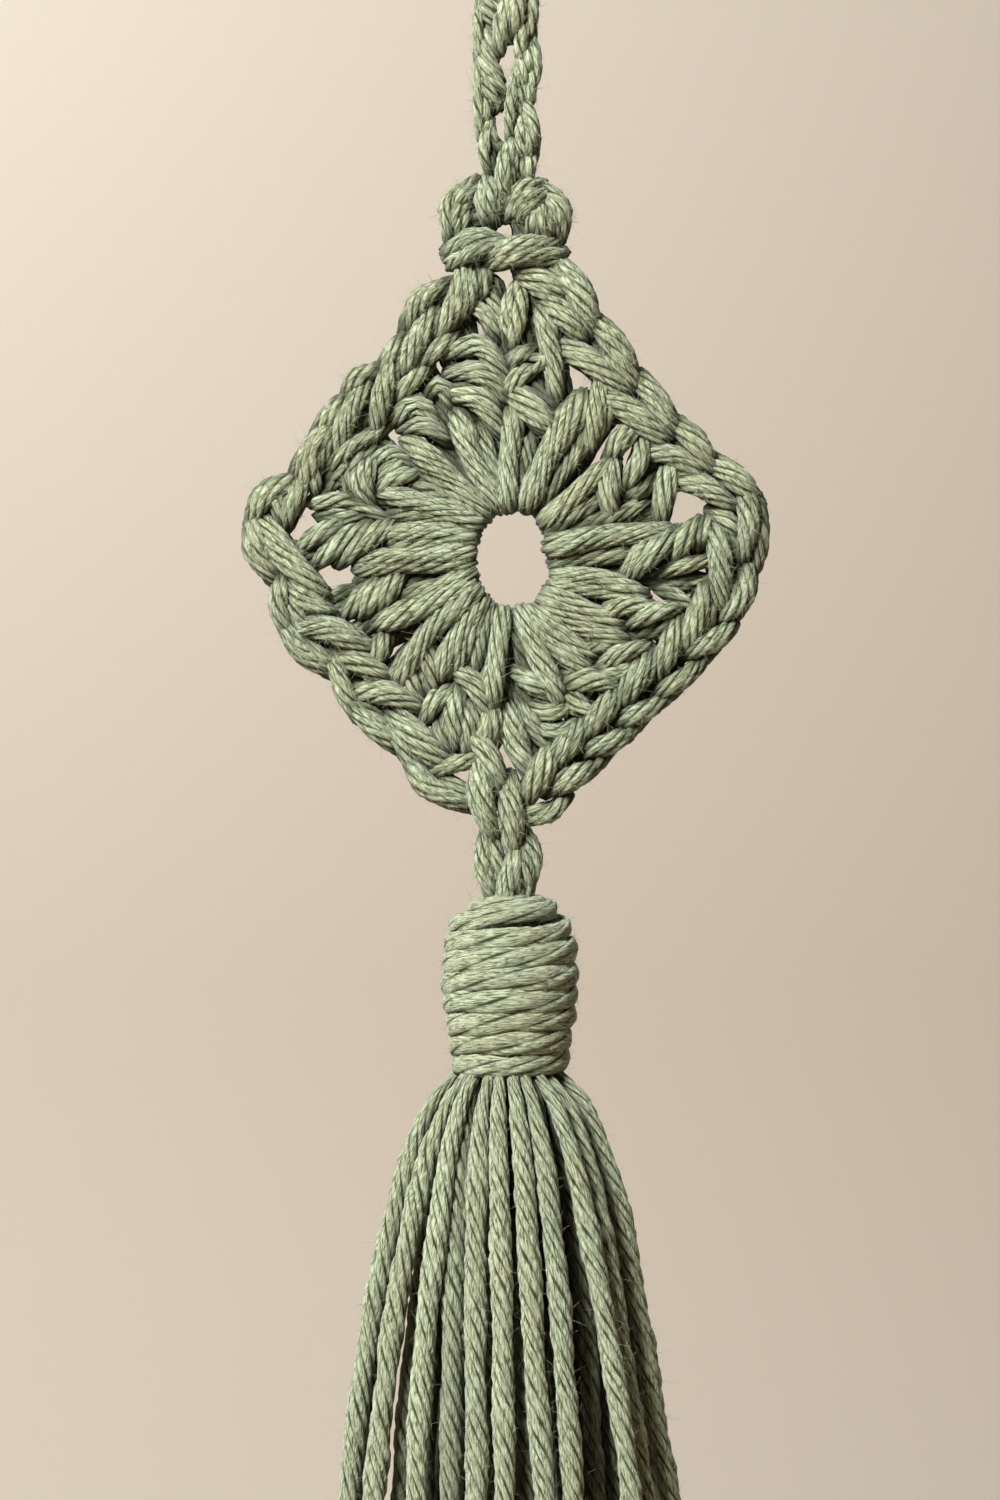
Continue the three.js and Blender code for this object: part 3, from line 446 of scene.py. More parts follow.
# The winding over the crown: its turns, the angle at which it ends, its inner radius and its rise, and
# the yarn's height and depth there as shares of those down the head, which it reaches from brim to foot.
Crown = namedtuple("Crown", "turns stations end radius rise inner_high outer_high inner_deep brim foot")
CROWN = Crown(
    turns=2.2, stations=20, end=-0.3, radius=1.6, rise=0.9, inner_high=0.65, outer_high=0.78,
    inner_deep=1.7, brim=-108.5, foot=-111.5,
)

# Skirt of the tassel: the strands seen from the front, by their angle from the front at the neck and
# at the hem and their share of the skirt's spread, and the rings that close it all round.
SkirtStrand = namedtuple("SkirtStrand", "neck hem spread")
SKIRT_FRONT = [
    SkirtStrand(-88, -90, 1.06),
    SkirtStrand(-58, -63, 1.0),
    SkirtStrand(-45, -37, 1.0),
    SkirtStrand(-50, -28, 0.82),
    SkirtStrand(-25, -13, 1.0),
    SkirtStrand(-13, -1, 1.0),
    SkirtStrand(2, 13, 1.0),
    SkirtStrand(16, 25, 1.0),
    SkirtStrand(34, 50, 1.0),
    SkirtStrand(51, 66, 0.94),
    SkirtStrand(75, 88, 1.02),
]
SkirtRing = namedtuple("SkirtRing", "strands spread first last")
SKIRT_RINGS = [
    SkirtRing(11, 1.0, 104, 218),
    SkirtRing(2, 1.0, 248, 262),
    SkirtRing(9, 0.75, -69, 88),
    SkirtRing(9, 0.75, 108, 234),
    SkirtRing(10, 0.5, 3, 327),
]
# Heights, the flare with its power of the drop, the waves, the uneven ends of the strands, the drop in
# which a strand turns to its angle at the hem, and its half width from the neck down.
Skirt = namedtuple(
    "Skirt",
    "top flare_z hem uneven neck flare bend wave wave_turn sway_turn turn_drop turn_bend half neck_half "
    "growth stations crowding drift seed",
)
SKIRT = Skirt(
    top=-121.6, flare_z=-124.2, hem=-191.0, uneven=(-1.4, 0.6), neck=4.4, flare=1.85, bend=0.48,
    wave=0.4, wave_turn=9.0, sway_turn=7.0, turn_drop=40.0, turn_bend=0.45, half=1.13, neck_half=0.62,
    growth=0.05, stations=20, crowding=1.7, drift=3.0, seed=41,
)

# How the depth in the work is found for the painted shade of buried yarn: the size of a cell of the grid,
# how many cells away still count, the depth at which the painted shade is full in the flat work and in
# the knots and chains, the same as a share of the radius in the skirt and on the head, and the radius at
# which the way round an axis is measured.
Shade = namedtuple("Shade", "cell reach depth thick_depth skirt_share head_share girth")
SHADE = Shade(
    cell=0.4, reach=3, depth=1.45, thick_depth=2.2, skirt_share=0.37, head_share=2.0, girth=9.0
)

# Fewest plies of a yarn, which is also the fewest corners of a ply, and fewest stations along a strand.
FEWEST = 3
FEWEST_STATIONS = 4
# Shortest and longest wave of a groove, as shares of the beat.
BEAT_SPREAD = (0.7, 1.3)
# Turns round the yarn within which the fibre map of a strand starts.
MAP_START = 50.0
# Shortest loose fibre as the root of a share of the longest, and how much of its width its tip loses.
Loose = namedtuple("Loose", "shortest taper")
LOOSE = Loose(shortest=0.4, taper=0.6)

# Soft lights of the studio, in metres.
Lamp = namedtuple("Lamp", "name place target size colour")
KEY_LAMP = Lamp("key_light", (-0.25, -0.42, 0.25), (0.0, 0.0, -0.09), 0.18, "ffffff")
BACKDROP_LAMP = Lamp("backdrop_light", (-0.75, 1.2, 0.85), (0.0, 2.2, -0.1), 0.6, "e6f4fb")
BACK_LAMP = Lamp("back_light", (0.2, 0.7, 0.2), (0.0, 0.0, -0.09), 0.5, "ffffff")
# Sheet of floor and backdrop, in metres.
Sweep = namedtuple("Sweep", "bend stations half_width front top roughness")
SWEEP = Sweep(bend=0.4, stations=17, half_width=4.0, front=-4.0, top=3.0, roughness=0.9)


def linear(colour):
    """Linear RGBA of an sRGB hex colour such as "a5ad91": straight near black, then a power of 2.4."""
    parts = np.array([int(colour[at : at + 2], 16) for at in (0, 2, 4)]) / 255.0
    low = parts / 12.92
    high = ((parts + 0.055) / 1.055) ** 2.4
    return (*np.where(parts <= 0.04045, low, high).tolist(), 1.0)


def add_node(tree, kind, settings=None, inputs=None):
    """Adds a node, sets its attributes, and links or sets its inputs."""
    node = tree.nodes.new(kind)
    for name, value in (settings or {}).items():
        setattr(node, name, value)
    for name, value in (inputs or {}).items():
        if isinstance(value, bpy.types.NodeSocket):
            tree.links.new(value, node.inputs[name])
        else:
            node.inputs[name].default_value = value
    return node


def ranged(tree, value, low, high, to_low=0.0, to_high=1.0, kind="LINEAR"):
    """A value stretched so that low comes to to_low and high to to_high, and held beyond them."""
    node = add_node(
        tree, "ShaderNodeMapRange", {"interpolation_type": kind},
        {"Value": value, "From Min": low, "From Max": high, "To Min": to_low, "To Max": to_high},
    )
    return node.outputs["Result"]


def mixed(tree, factor, first, second):
    """The first colour at factor 0, the second at 1, and an even mix between."""
    node = add_node(
        tree, "ShaderNodeMix", {"data_type": "RGBA"}, {"Factor": factor, "A": first, "B": second}
    )
    return node.outputs["Result"]


def unit(vectors):
    """The vectors at length one."""
    return vectors / np.linalg.norm(vectors, axis=-1, keepdims=True)


def smooth_line(rows, step):
    """A curve through rows of x, y, z, half width and half depth, sampled about every step.

    Between two rows it is the cubic whose slopes at the rows are those of the parabolas through
    each row and its neighbours, by the straight distance between rows.
    """
    rows = np.asarray(rows, float)
    gaps = np.linalg.norm(np.diff(rows[:, :3], axis=0), axis=1)
    knots = np.concatenate([[0.0], np.cumsum(gaps)])
    slopes = np.gradient(rows, knots, axis=0)
    stations = np.linspace(0.0, knots[-1], max(FEWEST_STATIONS, int(knots[-1] / step) + 1))
    span = np.clip(np.searchsorted(knots, stations, "right") - 1, 0, len(gaps) - 1)
    width = gaps[span][:, None]
    t = (stations - knots[span])[:, None] / width
    return (
        (1 + 2 * t) * (1 - t) ** 2 * rows[span]
        + t * (1 - t) ** 2 * width * slopes[span]
        + t**2 * (3 - 2 * t) * rows[span + 1]
        + t**2 * (t - 1) * width * slopes[span + 1]
    )


def strand_rows(points, half_width, half_depth=None):
    """Rows of x, y, z, half width and half depth of a strand along the points."""
    points = np.asarray(points, float)
    wide = np.broadcast_to(half_width, len(points))
    deep = wide if half_depth is None else np.broadcast_to(half_depth, len(points))
    return np.column_stack([points, wide, deep])


def strand_frame(rows, step, across=None):
    """The line of a strand, its distance along, and the two directions of its section.

    The first direction is the normal of the plane that the strand lies nearest to, or the one
    given, made square to the line; the second is square to both.
    """
    line = smooth_line(rows, step)
    centre = line[:, :3]
    tangent = unit(np.gradient(centre, axis=0))
    steps = np.linalg.norm(np.diff(centre, axis=0), axis=1)
    along = np.concatenate([[0.0], np.cumsum(steps)])
    if across is None:
        across = np.linalg.svd(centre - centre.mean(axis=0), full_matrices=False)[2][2]
    side = unit(across - (tangent @ across)[:, None] * tangent)
    return line, along, side, np.cross(tangent, side)


def yarn_skin(rows, yarn, chance, ply, lay, step, across=None):
    """The skin of one strand of plied yarn.

    At each station its section is a ring of plies, stretched to the half width and half depth. As many
    plies go round as their width allows. Across a ply, from groove to groove, the reach from the
    middle of the yarn is a half ellipse that stands on the valley. The ring turns against the clock by
    one turn in each lay, given in half widths; the strand swells and thins a little along a slow wave;
    each groove fades and comes back along a wave of its own; and every corner strays by chance.
    """
    line, along, side, up = strand_frame(rows, step, across)
    half = line[:, 3].mean()
    plies = max(FEWEST, round(2 * np.pi * half / ply))
    corners = max(FEWEST, round(ply / (yarn.corner_width / MM)))
    count = plies * corners
    corner = np.arange(count)
    of_ply = corner // corners
    across_ply = 2.0 * (corner % corners) / corners - 1.0
    shape = yarn.valley + (1.0 - yarn.valley) * np.sqrt(1.0 - across_ply**2)
    in_groove = (corner % corners == 0).astype(float)
    beat = yarn.beat / MM * chance.uniform(*BEAT_SPREAD, plies)
    wave = np.sin(2 * np.pi * (along[:, None] / beat + chance.uniform(size=plies)))
    open_share = (0.5 + 0.5 * wave)[:, of_ply]
    ply_size = 1.0 + yarn.unevenness * chance.uniform(-1.0, 1.0, plies)
    reach = shape * ply_size[of_ply] + yarn.closing * in_groove * (1.0 - open_share)
    # Weight of the shade painted in a groove between plies: full in the groove, less where the groove
    # fades.
    groove = in_groove * (1.0 - yarn.fading * (1.0 - open_share))
    ply_width = 1.0 + yarn.ply_spread * chance.uniform(-1.0, 1.0, plies)
    ply_end = np.cumsum(ply_width)
    ply_middle = ply_end - ply_width * 0.5
    place = (ply_middle[of_ply] + 0.5 * (ply_width[of_ply] * across_ply)) / ply_end[-1]
    turns = along / (lay * half)
    angle = 2 * np.pi * (place - turns[:, None] + chance.uniform())
    phase = chance.uniform(0.0, 2 * np.pi)
    swell = 1.0 + yarn.unevenness * np.sin(along / yarn.thickness * MM + phase)
    swell[[0, -1]] = yarn.end_share
    rough = reach * (1.0 + yarn.roughness * chance.normal(size=angle.shape))
    out_side = (line[:, 3] * swell)[:, None] * rough * np.cos(angle)
    out_up = (line[:, 4] * swell)[:, None] * rough * np.sin(angle)
    points = (
        line[:, None, :3]
        + out_side[:, :, None] * side[:, None, :]
        + out_up[:, :, None] * up[:, None, :]
    )
    station = np.arange(len(along) - 1)[:, None] * count
    following = (corner + 1) % count
    quads = np.stack(
        [station + corner, station + following, station + count + following, station + count + corner],
        axis=-1,
    ).reshape(-1, 4)
    map_start = chance.uniform(0.0, MAP_START)
    around = np.append(place, 1.0 + place[0]) - yarn.fibre_lean * turns[:, None] + map_start
    uv = np.stack([around * 2 * np.pi * half, np.broadcast_to(along[:, None], around.shape)], axis=-1)
    loops = np.stack([uv[:-1, :-1], uv[:-1, 1:], uv[1:, 1:], uv[1:, :-1]], axis=2)
    return {
        "points": points.reshape(-1, 3),
        "outward": unit(points - line[:, None, :3]).reshape(-1, 3),
        "quads": quads,
        "uv": loops.reshape(-1, 2),
        "groove": groove.ravel(),
        "tint": np.full(points.size // 3, chance.uniform()),
    }


def joined(skins):
    """One skin from several, the corners of their quads counted on from one to the next."""
    starts = np.cumsum([0] + [len(skin["points"]) for skin in skins[:-1]])
    whole = {key: np.concatenate([skin[key] for skin in skins]) for key in skins[0]}
    whole["quads"] = np.concatenate([skin["quads"] + start for skin, start in zip(skins, starts)])
    return whole


def stray_fibres(skin, yarn, count, chance):
    """Loose fibres on a skin: narrow ribbons that leave the crowns of plies that aren't buried.

    A ribbon's line is base + t reach (direction + t bend), with t from 0 to 1, where the direction is
    outward with a chance turn, and its half width falls in a straight line towards its tip. It has
    two corners at each of its three stations.
    """
    crowns = np.flatnonzero((skin["groove"] == 0.0) & (skin["depth"] < yarn.fibre_depth))
    chosen = chance.choice(crowns, count)
    direction = unit(skin["outward"][chosen] + yarn.fibre_spread * chance.normal(size=(count, 3)))
    bend = yarn.fibre_bend * unit(chance.normal(size=(count, 3)))
    reach = yarn.fibre_length / MM * chance.uniform(LOOSE.shortest, 1.0, count) ** 2
    share = np.linspace(0.0, 1.0, 3)
    line = skin["points"][chosen][:, None, :] + reach[:, None, None] * (
        share[:, None] * direction[:, None, :] + share[:, None] ** 2 * bend[:, None, :]
    )
    half = yarn.fibre_thickness / MM / 2 * (1.0 - LOOSE.taper * share)
    side = half[:, None] * unit(np.cross(direction, bend))[:, None, :]
    points = np.stack([line - side, line + side], axis=2).reshape(-1, 3)
    corners = 2 * len(share)
    quads = np.array([[0, 1, 3, 2], [2, 3, 5, 4]]) + corners * np.arange(count)[:, None, None]
    return {
        "points": points,
        "outward": np.repeat(direction, corners, axis=0),
        "quads": quads.reshape(-1, 4),
        "uv": np.zeros((quads.size, 2)),
        "groove": np.zeros(len(points)),
        "tint": np.ones(len(points)),
        "depth": np.zeros(len(points)),
    }


def buried_shade(points, depth, round_axis):
    """How deep points lie below the yarn about them, 0 at the top and 1 at the given depth or more.

    The height is the distance from the middle plane or, round an axis, from that axis, where the
    depth is a share of it. Each cell of a grid over the work keeps its greatest height, then the
    greatest of the cells within reach. This share is painted on the yarn as shade: the deeper, the darker.
    """
    if round_axis:
        height = np.hypot(points[:, 0] - WINDING.x, points[:, 1])
        across = SHADE.girth * np.arctan2(points[:, 0] - WINDING.x, -points[:, 1])
        face = np.zeros(len(points), int)
    else:
        height = np.abs(points[:, 1])
        across = points[:, 0]
        face = (points[:, 1] > 0).astype(int)
    column = ((across - across.min()) / SHADE.cell).astype(int) + SHADE.reach
    row = ((points[:, 2] - points[:, 2].min()) / SHADE.cell).astype(int) + SHADE.reach
    top = np.zeros((2, column.max() + SHADE.reach + 1, row.max() + SHADE.reach + 1))
    np.maximum.at(top, (face, column, row), height)
    shifts = range(-SHADE.reach, SHADE.reach + 1)
    for axis in (1, 2):
        top = np.max([np.roll(top, shift, axis) for shift in shifts], axis=0)
    about = top[face, column, row]
    full = depth * about if round_axis else depth
    return np.clip((about - height) / full, 0.0, 1.0)


def cotton_material(cotton):
    """Matt plied cotton: fibre streaks along the strand, with painted shade in the ply grooves and deep in
    the work, so the crowns stand paler.
    """
    name = "plied_cotton_yarn"
    if name in bpy.data.materials:
        return bpy.data.materials[name]
    material = bpy.data.materials.new(name)
    material.use_nodes = True
    tree = material.node_tree
    tree.nodes.clear()
    # Plied cotton is matt, with a soft glow of fuzz towards its rim. The eye reads its twist by the
    # dark grooves between the plies and by pale fibres along them. A cotton fibre is too fine to show,
    # so each streak stands for a bundle of fibres. The map is in millimetres.
    place = add_node(tree, "ShaderNodeUVMap", {"uv_map": "fibres"})
    streak_scale = (MM / cotton.streak_width, MM / cotton.streak_length, 1.0)
    streak_place = add_node(
        tree, "ShaderNodeMapping", inputs={"Vector": place.outputs["UV"], "Scale": streak_scale}
    )
    streaks = add_node(
        tree, "ShaderNodeTexNoise", {"noise_dimensions": "2D"},
        {
            "Vector": streak_place.outputs["Vector"],
            "Scale": 1.0,
            "Detail": 3.0,
            "Roughness": 0.6,
            "Distortion": 0.5,
        },
    )
    # Soft blotches of dye over the whole ornament.
    body = add_node(tree, "ShaderNodeTexCoord")
    blotch = add_node(
        tree, "ShaderNodeTexNoise",
        inputs={"Vector": body.outputs["Object"], "Scale": 1.0 / cotton.blotch_size, "Detail": 2.0},
    )
    coolness = ranged(tree, blotch.outputs["Fac"], low=0.38, high=0.62)
    crown = mixed(tree, coolness, cotton.light, cotton.cool)
    paleness = ranged(tree, streaks.outputs["Fac"], low=0.32, high=0.62)
    shade = mixed(tree, paleness, cotton.dark, crown)
    # Painted shade: the grooves between the plies, and yarn deep in the work, take the darkest colour, as
    # shade falls there.
    groove = add_node(tree, "ShaderNodeAttribute", {"attribute_name": "groove"})
    crease_shade = ranged(tree, groove.outputs["Fac"], low=0.28, high=0.85, to_high=0.92, kind="SMOOTHSTEP")
    creased = mixed(tree, crease_shade, shade, cotton.groove)
    deep = add_node(tree, "ShaderNodeAttribute", {"attribute_name": "depth"})
    sunk_shade = ranged(tree, deep.outputs["Fac"], low=0.2, high=1.0, to_high=0.82, kind="SMOOTHSTEP")
    shaded = mixed(tree, sunk_shade, creased, cotton.groove)
    # Each strand is a little lighter or darker than the next.
    tint = add_node(tree, "ShaderNodeAttribute", {"attribute_name": "tint"})
    uneven = add_node(
        tree, "ShaderNodeMath", {"operation": "ADD"}, {0: tint.outputs["Fac"], 1: blotch.outputs["Fac"]}
    )
    value = ranged(tree, uneven.outputs["Value"], low=0.3, high=1.7, to_low=0.86, to_high=1.12)
    dyed = add_node(tree, "ShaderNodeHueSaturation", inputs={"Color": shaded, "Value": value})
    relief = add_node(
        tree, "ShaderNodeBump",
        inputs={"Height": streaks.outputs["Fac"], "Strength": 0.8, "Distance": cotton.relief},
    )
    cloth = add_node(
        tree, "ShaderNodeBsdfPrincipled",
        inputs={
            "Base Color": dyed.outputs["Color"],
            "Normal": relief.outputs["Normal"],
            "Roughness": cotton.roughness,
            "Diffuse Roughness": 0.5,
            "Specular IOR Level": 0.12,
            "Sheen Weight": cotton.sheen,
            "Sheen Roughness": 0.45,
        },
    )
    add_node(tree, "ShaderNodeOutputMaterial", inputs={"Surface": cloth.outputs["BSDF"]})
    return material


def plain_material(name, colour, roughness):
    """An even, matt paint for the studio."""
    material = bpy.data.materials.new(name)
    material.use_nodes = True
    paint = material.node_tree.nodes["Principled BSDF"]
    paint.inputs["Base Color"].default_value = colour
    paint.inputs["Roughness"].default_value = roughness
    return material


def mesh_object(name, skin):
    """One object from a skin, with the fibre map and the shading attributes."""
    mesh = bpy.data.meshes.new(name)
    mesh.vertices.add(len(skin["points"]))
    mesh.vertices.foreach_set("co", (skin["points"] * MM).ravel())
    quads = skin["quads"]
    mesh.loops.add(quads.size)
    mesh.loops.foreach_set("vertex_index", quads.ravel())
    mesh.polygons.add(len(quads))
    mesh.polygons.foreach_set("loop_start", np.arange(0, quads.size, 4))
    mesh.update(calc_edges=True)
    mesh.shade_smooth()
    fibres = mesh.uv_layers.new(name="fibres")
    fibres.data.foreach_set("uv", skin["uv"].ravel())
    for key in ("groove", "tint", "depth"):
        attribute = mesh.attributes.new(key, "FLOAT", "POINT")
        attribute.data.foreach_set("value", skin[key])
    piece = bpy.data.objects.new(name, mesh)
    bpy.context.scene.collection.objects.link(piece)
    return piece


def work_piece(
    context, node, strands, seed, ply=None, lay=None, step=None, across=None, round_axis=False, fuzz=1.0,
    depth=SHADE.thick_depth,
):
    """Works the strands of one piece in yarn, dresses it, and puts it in its node's place.

    Ply, lay and step are those of worked yarn unless others are given, fuzz is a share of the loose
    fibres, and the shade depth is the one at which the painted shade of buried yarn is full.
    """
    yarn = context.scene.crochet_yarn
    chance = np.random.default_rng(seed)
    lay = lay or yarn.worked_lay
    step = (step or yarn.step) / MM
    ply = (ply or yarn.worked_ply) / MM
    skins = [yarn_skin(rows, yarn, chance, ply, lay, step, across) for rows in strands]
    length = MM * sum(skin["uv"][:, 1].max() for skin in skins)
    skin = joined(skins)
    # Painted shade: how far the yarn lies below the yarn about it, which darkens it in the material.
    skin["depth"] = buried_shade(skin["points"], depth, round_axis)
    fibres = stray_fibres(skin, yarn, int(fuzz * yarn.fibres_per_metre * length), chance)
    piece = mesh_object(node + "_yarn", joined([skin, fibres]))
    piece.data.materials.append(cotton_material(context.scene.crochet_cotton))
    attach(piece, BODY)
    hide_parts(node)


def motif_points(degrees, radius):
    """Points in the middle plane of the motif, by an angle and a distance from its centre."""
    angle = np.radians(degrees)
    x = MOTIF.x + radius * np.cos(angle)
    z = MOTIF.z + radius * np.sin(angle)
    return np.column_stack(np.broadcast_arrays(x, 0.0, z))


def hole_radius(degrees):
    """Radius of the oval hole at an angle: one over the length of the direction in half widths."""
    angle = math.radians(degrees)
    return 1 / math.hypot(
        math.cos(angle) / MOTIF.hole_half_width, math.sin(angle) / MOTIF.hole_half_height
    )


def laid_points(laid, origin, share):
    """The ends and the middle of a laid strand, each stood to the front by a share of its height."""
    x = origin[0] + np.array([laid.x, laid.middle_x, laid.end_x])
    z = origin[1] + np.array([laid.z, laid.middle_z, laid.end_z])
    return np.column_stack([x, -laid.front * np.asarray(share), z])


def tucked(inner, end, half):
    """A point past the end of a strand, on the line from the one before, where it has turned under."""
    way = end - inner
    way[1] = 0.0
    point = end + TUCK.beyond * half * unit(way)
    point[1] = -TUCK.front
    return point


def leg_strand(laid):
    """A leg of a treble: out from the hole at the back, round its rim, and out again at the front."""
    front = laid_points(laid, MOTIF[:2], LEG.front)
    angle = math.degrees(math.atan2(laid.z, laid.x))
    inside = motif_points(angle, hole_radius(angle) + RIM.outward)
    arm = np.vstack([front, tucked(front[1], front[2], laid.half)])
    back = arm[::-1] * (1.0, -1.0, 1.0)
    width = laid.half * np.array([*LEG.width, TUCK.share])
    half = np.concatenate([width[::-1], [RIM.half], width])
    return strand_rows(np.vstack([back, inside, arm]), half, np.minimum(half, DEEPEST))


def wrap_strand(laid, origin, face):
    """A strand across the legs on the front (face 1) or the back (-1), tucked under at both ends."""
    front = laid_points(laid, origin, WRAP.front)
    line = np.vstack(
        [tucked(front[1], front[0], laid.half), front, tucked(front[1], front[2], laid.half)]
    )
    half = laid.half * np.array([TUCK.share, *WRAP.width, TUCK.share])
    return strand_rows(line * (1.0, face, 1.0), half, np.minimum(half, DEEPEST))


def laid_strands(table, origin):
    """The strands of a table, on the front and on the back."""
    return [wrap_strand(laid, origin, face) for laid in table for face in (1.0, -1.0)]


def stitch_leg(ring, pitch, tip, side):
    """One leg of a chain stitch whose V has its tip at a distance along a ring of x and z.

    The leg lies to the left (side 1) or right (-1) of the ring, square to it. Its width is that at the
    tip plus a half sine along the leg.
    """
    steps = np.linalg.norm(np.diff(ring, axis=0), axis=1)
    length = np.concatenate([[0.0], np.cumsum(steps)])
    tangent = unit(np.gradient(ring, axis=0))
    along = np.array([tip + row.along * pitch for row in CHAIN_LEG])
    out = np.array([row.out * side * EYE.squeeze for row in CHAIN_LEG])
    front = np.array([row.front for row in CHAIN_LEG])
    x, z, tangent_x, tangent_z = (
        np.interp(along, length, column) for column in (*ring.T, *tangent.T)
    )
    leaf = LEAF.tip + LEAF.swell * np.sin(np.pi * np.linspace(0.0, 1.0, len(CHAIN_LEG)))
    points = np.column_stack([x - tangent_z * out, -front, z + tangent_x * out])
    return strand_rows(points, LEAF.half * leaf)


def hanging_loop_strands():
    """Strands of the hanging chain, and of the ring of stitches above it.

    The ring is an ellipse, gone round twice so that no stitch runs past its end. A stitch has the two
    legs of its V on each face.
    """
    straight = laid_strands(CHAIN_STRANDS, (0.0, 0.0))
    turn = np.linspace(0.0, 4 * np.pi, EYE.stations)
    ring = np.column_stack(
        [EYE.half_width * np.sin(turn), EYE.centre_z + EYE.half_height * np.cos(turn)]
    )
    length = np.linalg.norm(np.diff(ring, axis=0), axis=1).sum() / 2
    pitch = length / EYE.stitches
    looped = [
        stitch_leg(ring, pitch, tip, side) * (1.0, face, 1.0, 1.0, 1.0)
        for tip in pitch * (2 + np.arange(EYE.stitches))
        for side in (-1.0, 1.0)
        for face in (1.0, -1.0)
    ]
    return straight + looped


def edging_line():
    """Close points along the middle line of the edging, by the cubic of a smooth line."""
    rows = [(MOTIF.x + point.x, 0.0, MOTIF.z + point.z, 0.0, 0.0) for point in EDGING_LINE]
    return smooth_line(rows, EDGING_CORE.step)[:, [0, 2]]


def edging_strands():
    """Strands of the edging on both faces, and the yarn between the faces along its middle line."""
    line = edging_line()
    core = np.column_stack([line[:, 0], np.zeros(len(line)), line[:, 1]])
    return laid_strands(EDGING_STRANDS, MOTIF[:2]) + [strand_rows(core, EDGING_CORE.half)]


def centre_strands():
    """Strands of the trebles: legs over the rim of the hole, and wraps across them on both faces.

    Within them lie straight strands from the hole to the edging's middle line at the nearest angle,
    and a ring at an even distance from the hole.
    """
    legs = [leg_strand(laid) for laid in LEGS]
    wraps = laid_strands(WRAPS, MOTIF[:2])
    turn = np.linspace(0.0, RING.degrees, RING.stations)
    radii = np.array([hole_radius(degrees) for degrees in turn]) + RING.outward
    ring = strand_rows(motif_points(turn, radii), RING.half)
    edge = edging_line() - np.array([MOTIF.x, MOTIF.z])
    edge_angle = np.degrees(np.arctan2(edge[:, 1], edge[:, 0]))
    filling = []
    for degrees in FILLING_ANGLES:
        nearest = np.abs((edge_angle - degrees + 180) % 360 - 180).argmin()
        outer = np.hypot(*edge[nearest]) - FILLING.short
        radius = np.linspace(FILLING.start, outer, FILLING.stations)
        filling.append(strand_rows(motif_points(degrees, radius), FILLING.half))
    return legs + wraps + filling + [ring]


def winding_rows():
    """The yarn wound on the head: a spiral out over the crown, then turns down over the head.

    Down the head the level falls evenly with the angle. The height is that level, tilted up to the
    right by a slope that fades towards its foot, plus the product of two slow sine waves. The radius is
    the head's at that height less the half depth of the yarn. Over the crown the radius grows evenly,
    and the height falls with the square of the share of the way.
    """
    profile_z = np.array([row.z for row in HEAD_PROFILE])
    profile_radius = np.array([row.radius for row in HEAD_PROFILE])
    turn = np.linspace(0.0, 2 * np.pi * WINDING.turns, WINDING.stations * WINDING.turns)
    level = np.linspace(WINDING.top, WINDING.foot, len(turn))
    strays = WINDING.wander * np.sin(WINDING.slow_wave * turn) * np.sin(WINDING.quick_wave * turn)
    fade = np.clip((level - WINDING.slope_foot) / (WINDING.top - WINDING.slope_foot), 0, 1)
    tilt = WINDING.slope * fade * np.interp(-level, -profile_z, profile_radius)
    height = level + tilt * np.cos(turn) + strays
    radius = np.interp(-height, -profile_z, profile_radius) - WINDING.half_depth
    down = np.column_stack([WINDING.x + radius * np.cos(turn), -radius * np.sin(turn), height])
    cap_turn = np.linspace(-2 * np.pi * CROWN.turns, CROWN.end, int(CROWN.stations * CROWN.turns))
    share = np.linspace(0.0, 1.0, len(cap_turn))
    cap_radius = CROWN.radius + (radius[0] - CROWN.radius) * share
    cap_level = WINDING.top + CROWN.rise - CROWN.rise * share**2
    cap_height = cap_level + WINDING.slope * cap_radius * np.cos(cap_turn)
    cap = np.column_stack(
        [WINDING.x + cap_radius * np.cos(cap_turn), -cap_radius * np.sin(cap_turn), cap_height]
    )
    cap_high = np.interp(share, [0.0, 1.0], [CROWN.inner_high, CROWN.outer_high])
    cap_deep = np.interp(share, [0.0, 1.0], [CROWN.inner_deep, 1.0])
    down_high = np.interp(-height, [-CROWN.brim, -CROWN.foot], [CROWN.outer_high, 1.0])
    half_height = WINDING.half_height * np.append(cap_high, down_high)
    half_depth = WINDING.half_depth * np.append(cap_deep, np.ones(len(down)))
    return strand_rows(np.concatenate([cap, down]), half_height, half_depth)


def skirt_strand(neck, hem, spread, chance):
    """One tassel strand, by its angles at the neck and the hem and its share of the skirt's spread.

    Its distance from the axis is that of the neck plus the flare times a power of the drop. Its angle
    goes from one to the other with a power of the drop. Both stray in sine waves that grow with the way
    down. Its half width grows evenly with the drop up to that of the free yarn.
    """
    share = np.linspace(0.0, 1.0, SKIRT.stations) ** SKIRT.crowding
    height = SKIRT.top + (SKIRT.hem + chance.uniform(*SKIRT.uneven) - SKIRT.top) * share
    drop = np.maximum(SKIRT.flare_z - height, 0.0)
    radius = spread * (SKIRT.neck + SKIRT.flare * drop**SKIRT.bend)
    turned = np.minimum(1.0, drop / SKIRT.turn_drop) ** SKIRT.turn_bend
    angle = np.radians(neck + (hem - neck) * turned)
    phase = chance.uniform(0.0, 2 * np.pi, 2)
    wave = SKIRT.wave * share * np.sin(SKIRT.wave_turn * share + phase[0])
    sway = SKIRT.wave * share * np.sin(SKIRT.sway_turn * share + phase[1])
    x = WINDING.x + (radius + wave) * np.sin(angle) + sway * np.cos(angle)
    y = -(radius + wave) * np.cos(angle) + sway * np.sin(angle)
    half = np.minimum(SKIRT.half, SKIRT.neck_half + SKIRT.growth * drop)
    return strand_rows(np.column_stack([x, y, height]), half)


